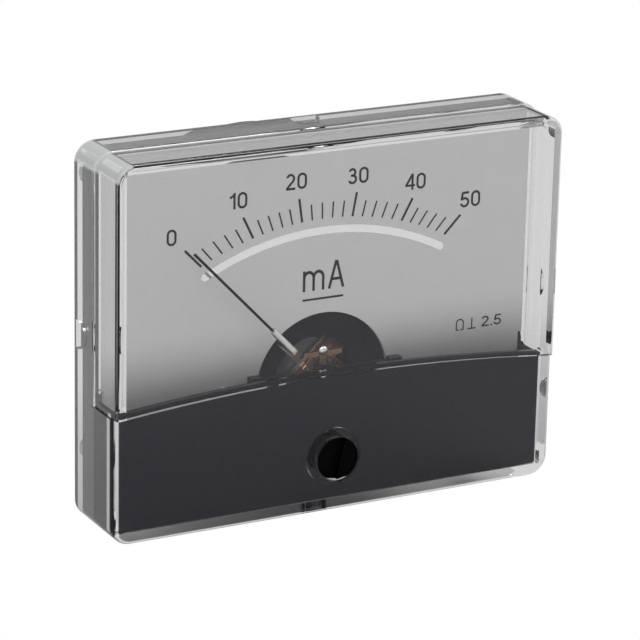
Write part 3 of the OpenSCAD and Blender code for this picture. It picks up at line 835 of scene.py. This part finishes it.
def dress(finish: Finish, *nodes: str) -> None:
    """Gives CAD nodes a finish.

    Args:
        finish: The finish.
        *nodes: Names of the CAD nodes.
    """
    material = finish.material()
    for name in nodes:
        node = frame["nodes"][name]
        for place in node.material_slots:
            place.material = material
        LOG.info("%s: %s", name, material.name)


# ------------------------------------------------------------------ dial


class TickKind(Enum):
    """The two lengths of scale mark."""

    MAJOR = "major"
    MINOR = "minor"


@dataclass(frozen=True)
class TypeStyle:
    """Size and weight of printed signs.

    Attributes:
        height: Height of a capital, in millimetres.
        line: Width of a stroke, as a share of the height.
        squeeze: Width of a sign against its usual width.
        gap: Room between two signs, as a share of the height.
    """

    height: float
    line: float
    squeeze: float = 1.0
    gap: float = 0.12


@dataclass
class Pen:
    """A printing pen that draws signs as bars and round bends of ink.

    Attributes:
        bm: The mesh to draw in.
        left: Where the sign's left edge is, in millimetres.
        base: Where the sign's foot is, in millimetres.
        style: The sign's size and weight.
        face_y: The dial's printed face, in millimetres.
        ink_t: Thickness of the ink, in millimetres.
        steps: Facets in a bend.
    """

    bm: bmesh.types.BMesh
    left: float
    base: float
    style: TypeStyle
    face_y: float
    ink_t: float
    steps: int = 20

    def place(self) -> Matrix:
        """Finds where the sign's own unit square lies on the dial.

        Returns:
            The matrix from the square to the dial.
        """
        tall = self.style.height * MM
        size = Matrix.Diagonal((tall * self.style.squeeze, self.ink_t * MM, tall, 1))
        return matrix_at(self.left, self.face_y - self.ink_t / 2, self.base) @ size

    def bar(self, start: tuple[float, float], end: tuple[float, float], weight: float = 1) -> None:
        """Draws a straight stroke.

        Args:
            start: Where it starts, in the unit square.
            end: Where it ends.
            weight: Its width against the pen's line.
        """
        way = Vector(end) - Vector(start)
        middle = (Vector(end) + Vector(start)) / 2
        turn = Matrix.Rotation(-math.atan2(way.y, way.x), 4, "Y")
        size = Matrix.Diagonal((way.length, 1, self.style.line * weight, 1))
        spot = Matrix.Translation(Vector((middle.x, 0, middle.y)))
        bmesh.ops.create_cube(self.bm, size=1.0, matrix=self.place() @ spot @ turn @ size)

    def bend(self, x: float, z: float, radius: float, start: float, end: float) -> None:
        """Draws a round bend.

        Args:
            x: The bend's centre, in the unit square.
            z: The bend's centre.
            radius: Radius of the stroke's middle.
            start: Where it starts, in degrees up from the right.
            end: Where it ends.
        """
        own = bmesh.new()
        inner, outer = radius - self.style.line / 2, radius + self.style.line / 2
        way = Vector((math.cos(math.radians(start)), math.sin(math.radians(start))))
        rim = [(inner, -0.5), (outer, -0.5), (outer, 0.5), (inner, 0.5)]
        first = own.faces.new([own.verts.new((x + r * way.x, y, z + r * way.y)) for r, y in rim])
        bmesh.ops.spin(
            own,
            geom=[first],
            cent=Vector((x, 0, z)),
            axis=Vector((0, 1, 0)),
            angle=math.radians(start - end),
            steps=self.steps,
            use_merge=False,
            use_duplicate=False,
        )
        bmesh.ops.transform(own, matrix=self.place(), verts=own.verts)
        bmesh.ops.recalc_face_normals(own, faces=own.faces)
        pour(own, self.bm)


class Sign:
    """The strokes of each generic figure and letter, in a square one cap high."""

    WIDTHS = {"1": 0.44, ".": 0.16, "m": 1.02, "A": 0.74}
    WIDTH = 0.64

    def __init__(self, line: float) -> None:
        """Sets the width of the strokes.

        Args:
            line: Width of a stroke, as a share of a capital's height.
        """
        self.low = line / 2
        self.high = 1 - line / 2

    def width(self, sign: str) -> float:
        """Gives a sign's width against a capital's height."""
        return self.WIDTHS.get(sign, self.WIDTH)

    def draw(self, pen: Pen, sign: str) -> None:
        """Draws one sign.

        Args:
            pen: The pen, at the sign's left edge.
            sign: The figure or letter.
        """
        strokes = {
            "0": self.nought, "1": self.one, "2": self.two, "3": self.three, "4": self.four,
            "5": self.five, ".": self.point, "m": self.small_m, "A": self.capital_a,
        }
        strokes[sign](pen)

    def nought(self, pen: Pen) -> None:
        """Draws 0.

        Args:
            pen: The pen, at the sign's left edge.
        """
        side = self.WIDTH / 2 - self.low
        drop = self.high - side
        pen.bend(self.WIDTH / 2, drop, side, 0, 180)
        pen.bend(self.WIDTH / 2, 1 - drop, side, 180, 360)
        for x in (self.low, self.WIDTH - self.low):
            pen.bar((x, 1 - drop), (x, drop))

    def one(self, pen: Pen) -> None:
        """Draws 1 with its flag.

        Args:
            pen: The pen, at the sign's left edge.
        """
        pen.bar((0.36, 0), (0.36, 1))
        pen.bar((0.36, 0.9), (0.22, 0.78))
        pen.bar((0.25, 0.8), (0.06, 0.71))

    def two(self, pen: Pen) -> None:
        """Draws 2.

        Args:
            pen: The pen, at the sign's left edge.
        """
        pen.bend(0.31, 0.7, self.high - 0.7, -38, 165)
        pen.bar((0.5, 0.56), (0.07, 0.1))
        pen.bar((0.02, self.low), (0.63, self.low))

    def three(self, pen: Pen) -> None:
        """Draws 3.

        Args:
            pen: The pen, at the sign's left edge.
        """
        waist = 0.535
        top, bottom = (self.high - waist) / 2, (waist - self.low) / 2
        pen.bend(0.3, waist + top, top, -90, 160)
        pen.bend(0.32, self.low + bottom, bottom, -163, 90)
        pen.bar((0.2, waist), (0.33, waist))

    def four(self, pen: Pen) -> None:
        """Draws 4.

        Args:
            pen: The pen, at the sign's left edge.
        """
        pen.bar((0.49, 0), (0.49, 1))
        pen.bar((0.0, 0.28), (0.66, 0.28), 0.9)
        pen.bar((0.05, 0.27), (0.47, 0.95))

    def five(self, pen: Pen) -> None:
        """Draws 5.

        Args:
            pen: The pen, at the sign's left edge.
        """
        bowl = 0.255
        pen.bar((0.13, self.high), (0.6, self.high))
        pen.bar((0.17, self.high), (0.1, 0.46))
        pen.bend(0.31, self.low + bowl, bowl, -165, 140)

    def point(self, pen: Pen) -> None:
        """Draws a decimal point."""
        pen.bar((0.02, self.low), (0.16, self.low), 1.1)

    def small_m(self, pen: Pen) -> None:
        """Draws m.

        Args:
            pen: The pen, at the sign's left edge.
        """
        arch = 0.215
        shoulder = 0.74 - self.low - arch
        for stem in range(3):
            x = self.low + 2 * arch * stem
            pen.bar((x, 0), (x, shoulder if stem else 0.74))
            if stem:
                pen.bend(x - arch, shoulder, arch, 0, 180)

    def capital_a(self, pen: Pen) -> None:
        """Draws A.

        Args:
            pen: The pen, at the sign's left edge.
        """
        pen.bar((0.05, 0), (0.36, 1))
        pen.bar((0.69, 0), (0.38, 1))
        pen.bar((0.16, 0.34), (0.58, 0.34), 0.9)


@dataclass
class DialPrint:
    """Everything printed on the dial: marks, figures, unit and class signs."""

    arc_z: float = -23.66
    inner_r: float = 36.0
    major_r: float = 39.0
    minor_r: float = 38.0
    major_w: float = 0.3
    minor_w: float = 0.2
    major_turns: tuple[float, ...] = (-44.4, -26.4, -8.7, 10.0, 28.4, 44.4)
    per_figure: int = 5
    figures: tuple[str, ...] = ("0", "10", "20", "30", "40", "50")
    figure_places: tuple[tuple[float, float], ...] = (
        (-20.4, 12.38), (-11.75, 15.9), (-4.05, 17.39), (4.3, 17.18), (12.23, 15.55), (20.0, 12.45)
    )
    figure_style: TypeStyle = TypeStyle(2.02, 0.145)
    unit: str = "mA"
    unit_left: float = -2.92
    unit_base: float = 3.42
    unit_style: TypeStyle = TypeStyle(3.5, 0.115, 0.86)
    rule_w: float = 5.55
    rule_h: float = 0.26
    rule_z: float = 2.34
    accuracy: str = "2.5"
    class_left: float = 22.25
    class_base: float = -4.35
    class_style: TypeStyle = TypeStyle(1.36, 0.14, 1.25)
    sign_line: float = 0.17
    upright_x: float = 20.86
    upright_foot: float = 1.15
    coil_x: float = 19.15
    coil_arch: float = 0.36
    coil_foot_end: float = 0.07
    ink_t: float = 0.012
    pivot: Vector = field(default_factory=lambda: Vector(frame["joints"][0]["pos_m"]) / MM)
    face_y: float = field(default_factory=lambda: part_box("dial_plate")[0].y / MM)

    def build(self) -> None:
        """Builds the four printed pieces."""
        self.marks()
        self.numbers()
        self.unit_sign()
        self.class_signs()

    def bar(self, bm: bmesh.types.BMesh, centre: Vector, w: float, h: float, turn: float) -> None:
        """Adds a printed bar.

        Args:
            bm: The mesh to add to.
            centre: Middle of the bar in X and Z, in millimetres.
            w: Width across, in millimetres.
            h: Length, in millimetres.
            turn: Clockwise turn from upright, in radians.
        """
        place = (
            matrix_at(centre.x, self.face_y - self.ink_t / 2, centre.y)
            @ Matrix.Rotation(turn, 4, "Y")
            @ Matrix.Diagonal((w * MM, self.ink_t * MM, h * MM, 1))
        )
        bmesh.ops.create_cube(bm, size=1.0, matrix=place)

    def reach(self, way: Vector, radius: float) -> float:
        """Finds where a ray from the pivot meets a scale arc.

        Args:
            way: The ray's direction in X and Z.
            radius: The arc's radius.

        Returns:
            Distance from the pivot along the ray.
        """
        offset = Vector((self.pivot.x, self.pivot.z - self.arc_z))
        along = offset.dot(way)
        return -along + math.sqrt(along**2 - offset.length_squared + radius**2)

    def mark(self, bm: bmesh.types.BMesh, degrees: float, kind: TickKind) -> None:
        """Adds one scale mark that points at the pointer's axis.

        Args:
            bm: The mesh to add to.
            degrees: Clockwise turn from upright, about the pointer's axis.
            kind: Which length of mark.
        """
        outer, wide = {
            TickKind.MAJOR: (self.major_r, self.major_w),
            TickKind.MINOR: (self.minor_r, self.minor_w),
        }[kind]
        turn = math.radians(degrees)
        way = Vector((math.sin(turn), math.cos(turn)))
        near, far = self.reach(way, self.inner_r), self.reach(way, outer)
        hub = Vector((self.pivot.x, self.pivot.z))
        self.bar(bm, hub + way * (near + far) / 2, wide, far - near, turn)

    def marks(self) -> None:
        """Prints the scale marks: one at each figure and four between two figures."""
        piece = Piece("scale_marks")
        for start, end in zip(self.major_turns, self.major_turns[1:]):
            self.mark(piece.bm, start, TickKind.MAJOR)
            for step in range(1, self.per_figure):
                between = start + (end - start) * step / self.per_figure
                self.mark(piece.bm, between, TickKind.MINOR)
        self.mark(piece.bm, self.major_turns[-1], TickKind.MAJOR)
        piece.finish(INK, "case", "dial_enamel")

    def lettering(
        self, bm: bmesh.types.BMesh, words: str, left: float, base: float, style: TypeStyle
    ) -> None:
        """Prints generic figures or letters.

        Args:
            bm: The mesh to add to.
            words: The figures or letters.
            left: Left edge, in millimetres.
            base: Foot, in millimetres.
            style: Their size and weight.
        """
        signs = Sign(style.line)
        for sign in words:
            signs.draw(Pen(bm, left, base, style, self.face_y, self.ink_t), sign)
            left += (signs.width(sign) + style.gap) * style.height * style.squeeze

    def numbers(self) -> None:
        """Prints the scale's figures above their marks."""
        piece = Piece("scale_figures")
        style = self.figure_style
        signs = Sign(style.line)
        for words, (x, z) in zip(self.figures, self.figure_places):
            wide = sum(signs.width(sign) + style.gap for sign in words) - style.gap
            left = x - wide * style.height * style.squeeze / 2
            self.lettering(piece.bm, words, left, z - style.height / 2, style)
        piece.finish(INK, "case", "dial_enamel")

    def unit_sign(self) -> None:
        """Prints the unit and the rule under it."""
        piece = Piece("unit_sign")
        self.lettering(piece.bm, self.unit, self.unit_left, self.unit_base, self.unit_style)
        middle = self.unit_left + self.rule_w / 2
        self.bar(piece.bm, Vector((middle, self.rule_z)), self.rule_w, self.rule_h, 0)
        piece.finish(INK, "case", "dial_enamel")

    def class_signs(self) -> None:
        """Prints the moving-coil sign, the upright-use sign and the accuracy class."""
        piece = Piece("class_signs")
        style, base = self.class_style, self.class_base
        self.lettering(piece.bm, self.accuracy, self.class_left, base, style)
        stem = Vector((self.upright_x, base + style.height / 2))
        self.bar(piece.bm, stem, self.sign_line, style.height, 0)
        foot = Vector((self.upright_x, base))
        self.bar(piece.bm, foot, self.upright_foot, self.sign_line, 0)
        self.coil_sign(piece.bm)
        piece.finish(INK, "case", "dial_enamel")

    def coil_sign(self, bm: bmesh.types.BMesh) -> None:
        """Adds the moving-coil sign: an arch on two feet.

        Args:
            bm: The mesh to add to.
        """
        tall = self.class_style.height
        style = TypeStyle(tall, self.sign_line / tall)
        pen = Pen(bm, self.coil_x, self.class_base, style, self.face_y, self.ink_t)
        spring = 1 - self.coil_arch
        pen.bend(0, spring, self.coil_arch, 0, 180)
        for side in (-1, 1):
            leg = side * self.coil_arch
            pen.bar((leg, 0), (leg, spring))
            pen.bar((leg, 0), (side * self.coil_foot_end, 0))


@dataclass
class Dial:
    """The dial plate with its print and mirror."""

    print_work: DialPrint = field(default_factory=DialPrint)

    def build(self) -> None:
        """Prints and dresses the dial."""
        self.print_work.build()
        dress(DIAL, "dial_plate")
        dress(MIRROR, "scale_mirror")


@dataclass
class DialScrews:
    """The two slotted screws that hold the dial."""

    head_r: float = 1.35
    head_t: float = 0.6
    dome: float = 0.2
    slot: float = 0.4
    slot_depth: float = 0.3
    low: Vector = field(default_factory=lambda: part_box("dial_screws")[0] / MM)
    high: Vector = field(default_factory=lambda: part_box("dial_screws")[1] / MM)
    face_y: float = field(default_factory=lambda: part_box("dial_plate")[0].y / MM)
    shank_r: float = 1.0

    def build(self) -> None:
        """Builds both screws in place of their plain heads."""
        piece = Piece("slotted_dial_screws")
        cad_head_r = (self.high.z - self.low.z) / 2
        x, z = self.high.x - cad_head_r, (self.low.z + self.high.z) / 2
        for side in (-1, 1):
            self.screw(piece.bm, side * x, z)
        piece.finish(PLATED_STEEL, "case", "screw_steel", ("dial_screws",), smooth=30)

    def screw(self, bm: bmesh.types.BMesh, x: float, z: float) -> None:
        """Adds one screw.

        Args:
            bm: The mesh to add to.
            x: The screw's axis, in millimetres.
            z: The screw's axis, in millimetres.
        """
        top = self.face_y - self.head_t
        floor = top + self.slot_depth
        body = TurnedRod(
            [
                (0, floor), (self.head_r, floor), (self.head_r, self.face_y),
                (self.shank_r, self.face_y), (self.shank_r, self.high.y), (0, self.high.y),
            ]
        )
        body.turn(bm, x, z)
        cap = TurnedRod(
            [
                (0, top), (self.head_r - self.dome, top), (self.head_r, top + self.dome),
                (self.head_r, floor), (0, floor),
            ]
        )
        for side in (-1, 1):
            half = bmesh.new()
            cap.turn(half, x, z)
            cut = Vector((x, top, z + side * self.slot / 2)) * MM
            done = bmesh.ops.bisect_plane(
                half,
                geom=half.verts[:] + half.edges[:] + half.faces[:],
                dist=MERGE,
                plane_co=cut,
                plane_no=Vector((0, 0, side)),
                clear_inner=True,
            )
            rim = [e for e in done["geom_cut"] if isinstance(e, bmesh.types.BMEdge)]
            bmesh.ops.edgeloop_fill(half, edges=rim)
            pour(half, bm)


# ------------------------------------------------------------------ case


@dataclass
class Case:
    """The moulded base, clear cover and mask."""

    corner_r: float = 2.4
    facets: int = 6
    high: Vector = field(default_factory=lambda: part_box("rear_housing")[1] / MM)

    def build(self) -> None:
        """Rounds the base and dresses the case."""
        self.rounded_base()
        dress(CLEAR, "front_cover")
        dress(MASK_BLACK, "lower_mask")
        dress(KNOB_BLACK, "zero_screw")

    def rounded_base(self) -> None:
        """Builds the base with its flange corners rounded, as the cover's are."""
        piece = Piece("rounded_base")
        node = frame["nodes"]["rear_housing"]
        piece.bm.from_mesh(node.data)
        piece.bm.transform(node.matrix_world)
        bmesh.ops.remove_doubles(piece.bm, verts=piece.bm.verts, dist=MERGE)
        x, z = self.high.x - self.corner_r, self.high.z - self.corner_r
        for sx, sz in CORNERS:
            for step in range(1, self.facets):
                turn = math.radians(90) * step / self.facets
                way = Vector((sx * math.cos(turn), 0, sz * math.sin(turn)))
                self.shave(piece.bm, Vector((sx * x, 0, sz * z)) + way * self.corner_r, way)
        piece.finish(CASE_BLACK, "case", "black_moulding", ("rear_housing",), smooth=30)

    def shave(self, bm: bmesh.types.BMesh, spot: Vector, way: Vector) -> None:
        """Cuts a flat off a mesh and closes the cut.

        Args:
            bm: The mesh.
            spot: A point of the cutting plane, in millimetres.
            way: The plane's outward direction.
        """
        done = bmesh.ops.bisect_plane(
            bm,
            geom=bm.verts[:] + bm.edges[:] + bm.faces[:],
            dist=MERGE,
            plane_co=spot * MM,
            plane_no=way,
            clear_outer=True,
        )
        rim = [e for e in done["geom_cut"] if isinstance(e, bmesh.types.BMEdge) and e.is_boundary]
        if rim:
            bmesh.ops.triangle_fill(bm, edges=rim, use_beauty=True, use_dissolve=True)


# ------------------------------------------------------------------ movement


@dataclass
class Movement:
    """The moving-coil movement, its springs, bridges and pointer."""

    solder_r: float = 0.62
    solder_t: float = 0.28
    solder_drop: float = 0.465
    low: Vector = field(default_factory=lambda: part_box("regulator")[0] / MM)
    high: Vector = field(default_factory=lambda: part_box("regulator")[1] / MM)

    def build(self) -> None:
        """Builds the solder and dresses the movement."""
        self.spring_solder()
        dress(FRAME_BLACK, "movement_frame")
        dress(PLATED_STEEL, "frame_screws")
        dress(SOFT_IRON, "yoke_ring")
        dress(MAGNET_ALLOY, "core_magnet")
        dress(AGED_BRASS, "core_struts", "rear_bridge", "bridge_screws", "balance_weights")
        dress(AGED_BRASS, "rear_jewel_screw", "regulator")
        dress(TINNED, "front_jewel_screw", "jewel_lock_nuts")
        dress(BRIDGE_BLACK, "front_bridge")
        dress(SPRING_BRONZE, "front_hairspring", "rear_hairspring")
        dress(ALUMINIUM, "coil_former", "coil_end_plates", "pointer_sleeve")
        dress(ARM_METAL, "pointer_arm")
        dress(COPPER_COIL, "coil_winding")
        dress(PIVOT_STEEL, "front_staff", "rear_staff")
        dress(NEEDLE_LACQUER, "pointer_needle")

    def spring_solder(self) -> None:
        """Builds the blob of solder on the regulator's spring post."""
        piece = Piece("spring_solder")
        size = Matrix.Diagonal((self.solder_r, self.solder_t, self.solder_r, 1 / MM)) * MM
        place = matrix_at(0, self.low.y, self.high.z - self.solder_drop) @ size
        bmesh.ops.create_icosphere(piece.bm, subdivisions=3, radius=1.0, matrix=place)
        piece.finish(SOLDER, "regulator", "tinned_lug")


# ------------------------------------------------------------------ terminals and fixings


@dataclass
class Thread:
    """A screw thread on a rod along Y.

    Attributes:
        crest_r: Radius over the crests.
        root_r: Radius at the roots.
        pitch: Rise per turn.
        start_y: Where the thread starts.
        end_y: Where it ends.
        steps: Facets per turn.
        tip: The tip's chamfer, across and along.
        sunk: How far the ridge's foot goes into the rod.
        foot: Half the ridge's width at its foot, in pitches.
        crest: Half its width at its crest, against the foot's.
        runout: Plain length left at the tip.
    """

    crest_r: float
    root_r: float
    pitch: float
    start_y: float
    end_y: float
    steps: int = 20
    tip: tuple[float, float] = (0.3, 0.35)
    sunk: float = 0.05
    foot: float = 0.42
    crest: float = 0.16
    runout: float = 0.3

    def cut(self, bm: bmesh.types.BMesh, x: float, z: float) -> None:
        """Adds the threaded rod to a mesh.

        Args:
            bm: The mesh to add to.
            x: The rod's axis, in millimetres.
            z: The rod's axis, in millimetres.
        """
        across, along = self.tip
        core = TurnedRod(
            [
                (0, self.start_y), (self.root_r, self.start_y), (self.root_r, self.end_y - along),
                (self.root_r - across, self.end_y), (0, self.end_y),
            ]
        )
        core.turn(bm, x, z)
        foot = self.pitch * self.foot
        crest = foot * self.crest
        sunk = self.root_r - self.sunk
        ring = [(sunk, -foot), (self.crest_r, -crest), (self.crest_r, crest), (sunk, foot)]
        first = self.start_y + self.pitch / 2
        face = bm.faces.new([bm.verts.new(Vector((x + r, first + y, z)) * MM) for r, y in ring])
        turns = (self.end_y - self.start_y - self.pitch - self.runout) / self.pitch
        count = round(turns * self.steps)
        bmesh.ops.spin(
            bm,
            geom=[face],
            cent=Vector((x, 0, z)) * MM,
            axis=Vector((0, 1, 0)),
            dvec=Vector((0, self.pitch / self.steps * MM, 0)),
            angle=count * 2 * math.pi / self.steps,
            steps=count,
            use_merge=False,
            use_duplicate=False,
        )


@dataclass
class TurnedRod:
    """A turned shape about an axis along Y, from its half outline of (radius, y)."""

    outline: list[tuple[float, float]]
    steps: int = 40

    def turn(self, bm: bmesh.types.BMesh, x: float, z: float) -> None:
        """Adds the turned shape to a mesh.

        Args:
            bm: The mesh to add to.
            x: The axis, in millimetres.
            z: The axis, in millimetres.
        """
        own = bmesh.new()
        spots = [own.verts.new(Vector((x + r, y, z)) * MM) for r, y in self.outline]
        edges = [own.edges.new(pair) for pair in zip(spots, spots[1:])]
        bmesh.ops.spin(
            own,
            geom=spots + edges,
            cent=Vector((x, 0, z)) * MM,
            axis=Vector((0, 1, 0)),
            angle=2 * math.pi,
            steps=self.steps,
            use_merge=True,
        )
        bmesh.ops.remove_doubles(own, verts=own.verts, dist=MERGE)
        bmesh.ops.recalc_face_normals(own, faces=own.faces)
        pour(own, bm)


@dataclass
class PanelStuds:
    """The four threaded studs that hold the meter to its panel."""

    stud_r: float = 1.5
    root_r: float = 1.22
    pitch: float = 0.5
    shank_r: float = 1.8
    head_r: float = 2.1
    head_t: float = 1.0
    bevel: float = 0.15
    sunk: float = 0.2
    low: Vector = field(default_factory=lambda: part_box("panel_studs")[0] / MM)
    high: Vector = field(default_factory=lambda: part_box("panel_studs")[1] / MM)

    def build(self) -> None:
        """Builds the four studs in place of their plain rods."""
        piece = Piece("threaded_panel_studs")
        x, z = self.high.x - self.head_r, self.high.z - self.head_r
        head_y, seat_y = self.low.y, self.low.y + self.head_t
        body = TurnedRod(
            [
                (0, head_y), (self.head_r - self.bevel, head_y), (self.head_r, head_y + self.bevel),
                (self.head_r, seat_y), (self.shank_r, seat_y), (self.shank_r, 0),
                (self.root_r, 0), (0, self.sunk),
            ]
        )
        thread = Thread(self.stud_r, self.root_r, self.pitch, 0, self.high.y)
        for sx, sz in CORNERS:
            body.turn(piece.bm, sx * x, sz * z)
            thread.cut(piece.bm, sx * x, sz * z)
        piece.finish(PLATED_STEEL, "case", "screw_steel", ("panel_studs",), smooth=30)


@dataclass
class Terminals:
    """The two threaded terminals with their washers, lugs and nuts."""

    stud_r: float = 2.0
    root_r: float = 1.62
    pitch: float = 0.7
    neck_r: float = 1.7
    neck_bevel: float = 0.25
    head_t: float = 1.0
    head_bevel: float = 0.15
    sunk: float = 0.2
    facets: int = 28

    def build(self) -> None:
        """Builds the threaded terminals and dresses what they carry."""
        for node in ("terminal_stud_positive", "terminal_stud_negative"):
            self.stud(node)
        dress(PLATED_STEEL, "terminal_washers")
        dress(TINNED, "solder_lugs")
        dress(BRASS, "terminal_nuts")

    def stud(self, node: str) -> None:
        """Builds one threaded terminal stud.

        Args:
            node: The CAD node whose place it takes.
        """
        low, high = (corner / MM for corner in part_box(node))
        x, z = (low.x + high.x) / 2, (low.z + high.z) / 2
        head_r = (high.x - low.x) / 2
        seat_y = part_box("rear_housing")[1].y / MM
        inner_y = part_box("shunt_board")[1].y / MM
        neck, bevel = self.neck_r, self.neck_bevel
        piece = Piece(node.replace("terminal_stud", "threaded_terminal"))
        rod = TurnedRod(
            [
                (0, low.y), (neck - bevel, low.y), (neck, low.y + bevel), (neck, inner_y),
                (head_r - self.head_bevel, inner_y), (head_r, inner_y + self.head_bevel),
                (head_r, inner_y + self.head_t), (neck, inner_y + self.head_t),
                (neck, seat_y), (self.root_r, seat_y), (0, seat_y + self.sunk),
            ]
        )
        rod.turn(piece.bm, x, z)
        thread = Thread(self.stud_r, self.root_r, self.pitch, seat_y, high.y, self.facets)
        thread.cut(piece.bm, x, z)
        piece.finish(BRASS, "case", "brass", (node,), smooth=30)


@dataclass
class Shunt:
    """The inner board and resistor across the terminals."""

    def build(self) -> None:
        """Dresses the board and its resistor."""
        dress(BOARD, "shunt_board")
        dress(RESISTOR, "shunt_resistor")


# ------------------------------------------------------------------ studio


@dataclass(frozen=True)
class Softbox:
    """A square softbox that faces the meter.

    Attributes:
        name: The lamp's name.
        place: Where it stands, in millimetres.
        size: Width of its face, in millimetres.
        power: Its power, in watts.
    """

    name: str
    place: Place
    size: float
    power: float

    def build(self) -> None:
        """Adds the lamp."""
        light = bpy.data.lights.new(self.name, "AREA")
        light.shape = "SQUARE"
        light.size = self.size * MM
        light.energy = self.power
        holder = bpy.data.objects.new(self.name, light)
        place = Vector(self.place)
        holder.location = place * MM
        holder.rotation_euler = (-place).to_track_quat("-Z", "Y").to_euler()
        bpy.context.scene.collection.objects.link(holder)


@dataclass
class Studio:
    """Floor, sky, lamps and camera."""

    floor_gap: float = 0.2
    sky: float = 0.62
    sky_seen: float = 1.0
    sky_through: float = 0.66
    sky_gloss: float = 0.28
    floor_size: float = 3.0
    floor_tones: tuple[float, float] = (0.64, 0.66)
    floor_patch_mm: float = 60.0
    lamps: tuple[Softbox, ...] = (
        Softbox("key_softbox", (-420, -620, 780), 380, 3.4),
        Softbox("fill_softbox", (700, -420, 520), 420, 1.6),
        Softbox("rear_softbox", (200, 650, 700), 420, 2.0),
    )
    lens: float = 189.35
    sensor: float = 36.0
    near: float = 0.02
    far: float = 10.0
    eye: Vector = field(default_factory=lambda: Vector((-182.95, -347.16, 126.67)))
    right: Vector = field(default_factory=lambda: Vector((0.88457, -0.46594, 0.02073)))
    up: Vector = field(default_factory=lambda: Vector((0.12816, 0.28557, 0.94975)))

    def build(self) -> None:
        """Builds the studio."""
        self.world()
        self.floor()
        for lamp in self.lamps:
            lamp.build()
        self.camera()

    def world(self) -> None:
        """Lights the room with an even sky that is white where the camera sees it."""
        world = bpy.data.worlds.new("studio_sky")
        bpy.context.scene.world = world
        world.use_nodes = True
        nodes, links = world.node_tree.nodes, world.node_tree.links
        nodes.clear()
        path = nodes.new("ShaderNodeLightPath")
        shader = self.shade(nodes, self.sky)
        for ray, strength in (
            ("Is Glossy Ray", self.sky_gloss),
            ("Is Transmission Ray", self.sky_through),
            ("Is Camera Ray", self.sky_seen),
        ):
            mix = nodes.new("ShaderNodeMixShader")
            links.new(path.outputs[ray], mix.inputs["Fac"])
            links.new(shader, mix.inputs[1])
            links.new(self.shade(nodes, strength), mix.inputs[2])
            shader = mix.outputs["Shader"]
        output = nodes.new("ShaderNodeOutputWorld")
        links.new(shader, output.inputs["Surface"])

    def shade(self, nodes: bpy.types.Nodes, strength: float) -> Socket:
        """Adds a white background of a strength.

        Args:
            nodes: The world's nodes.
            strength: How bright it is.

        Returns:
            The background's shader.
        """
        white = nodes.new("ShaderNodeBackground")
        white.inputs["Color"].default_value = (1, 1, 1, 1)
        white.inputs["Strength"].default_value = strength
        return white.outputs["Background"]

    def floor(self) -> None:
        """Lays a pale floor under the meter, white where the camera sees it."""
        bm = bmesh.new()
        bmesh.ops.create_grid(bm, x_segments=1, y_segments=1, size=self.floor_size)
        level = cad_box[0].z - self.floor_gap * MM
        bmesh.ops.translate(bm, vec=Vector((0, 0, level)), verts=bm.verts)
        mesh = bpy.data.meshes.new("studio_floor")
        bm.to_mesh(mesh)
        bm.free()
        bench = Bench("studio_floor")
        matt = bench.add("ShaderNodeBsdfDiffuse")
        dark, light = ((tone, tone, tone) for tone in self.floor_tones)
        bench.join(bench.blend(bench.noise(self.floor_patch_mm), dark, light), matt.inputs["Color"])
        seen = bench.add("ShaderNodeLightPath").outputs["Is Camera Ray"]
        white = bench.add("ShaderNodeEmission", Strength=self.sky_seen)
        both = bench.mix(seen, matt.outputs["BSDF"], white.outputs["Emission"])
        mesh.materials.append(bench.close(both))
        floor = bpy.data.objects.new("studio_floor", mesh)
        bpy.context.scene.collection.objects.link(floor)

    def camera(self) -> None:
        """Places the camera."""
        data = bpy.data.cameras.new("camera")
        data.lens = self.lens
        data.sensor_width = self.sensor
        data.clip_start = self.near
        data.clip_end = self.far
        camera = bpy.data.objects.new("camera", data)
        back = self.right.cross(self.up).normalized()
        turned = Matrix((self.right.normalized(), self.up.normalized(), back)).transposed()
        camera.matrix_world = Matrix.Translation(self.eye * MM) @ turned.to_4x4()
        bpy.context.scene.collection.objects.link(camera)
        bpy.context.scene.camera = camera


def main() -> None:
    """Builds the meter's looks and the studio."""
    logging.basicConfig(level=logging.INFO, format="%(message)s")
    bpy.context.scene.view_settings.view_transform = "Standard"
    meter = (Case(), Dial(), DialScrews(), Movement(), Terminals(), PanelStuds(), Shunt())
    for part in (*meter, Studio()):
        part.build()
        LOG.info("built %s", type(part).__name__)


if __name__ == "__main__":
    main()
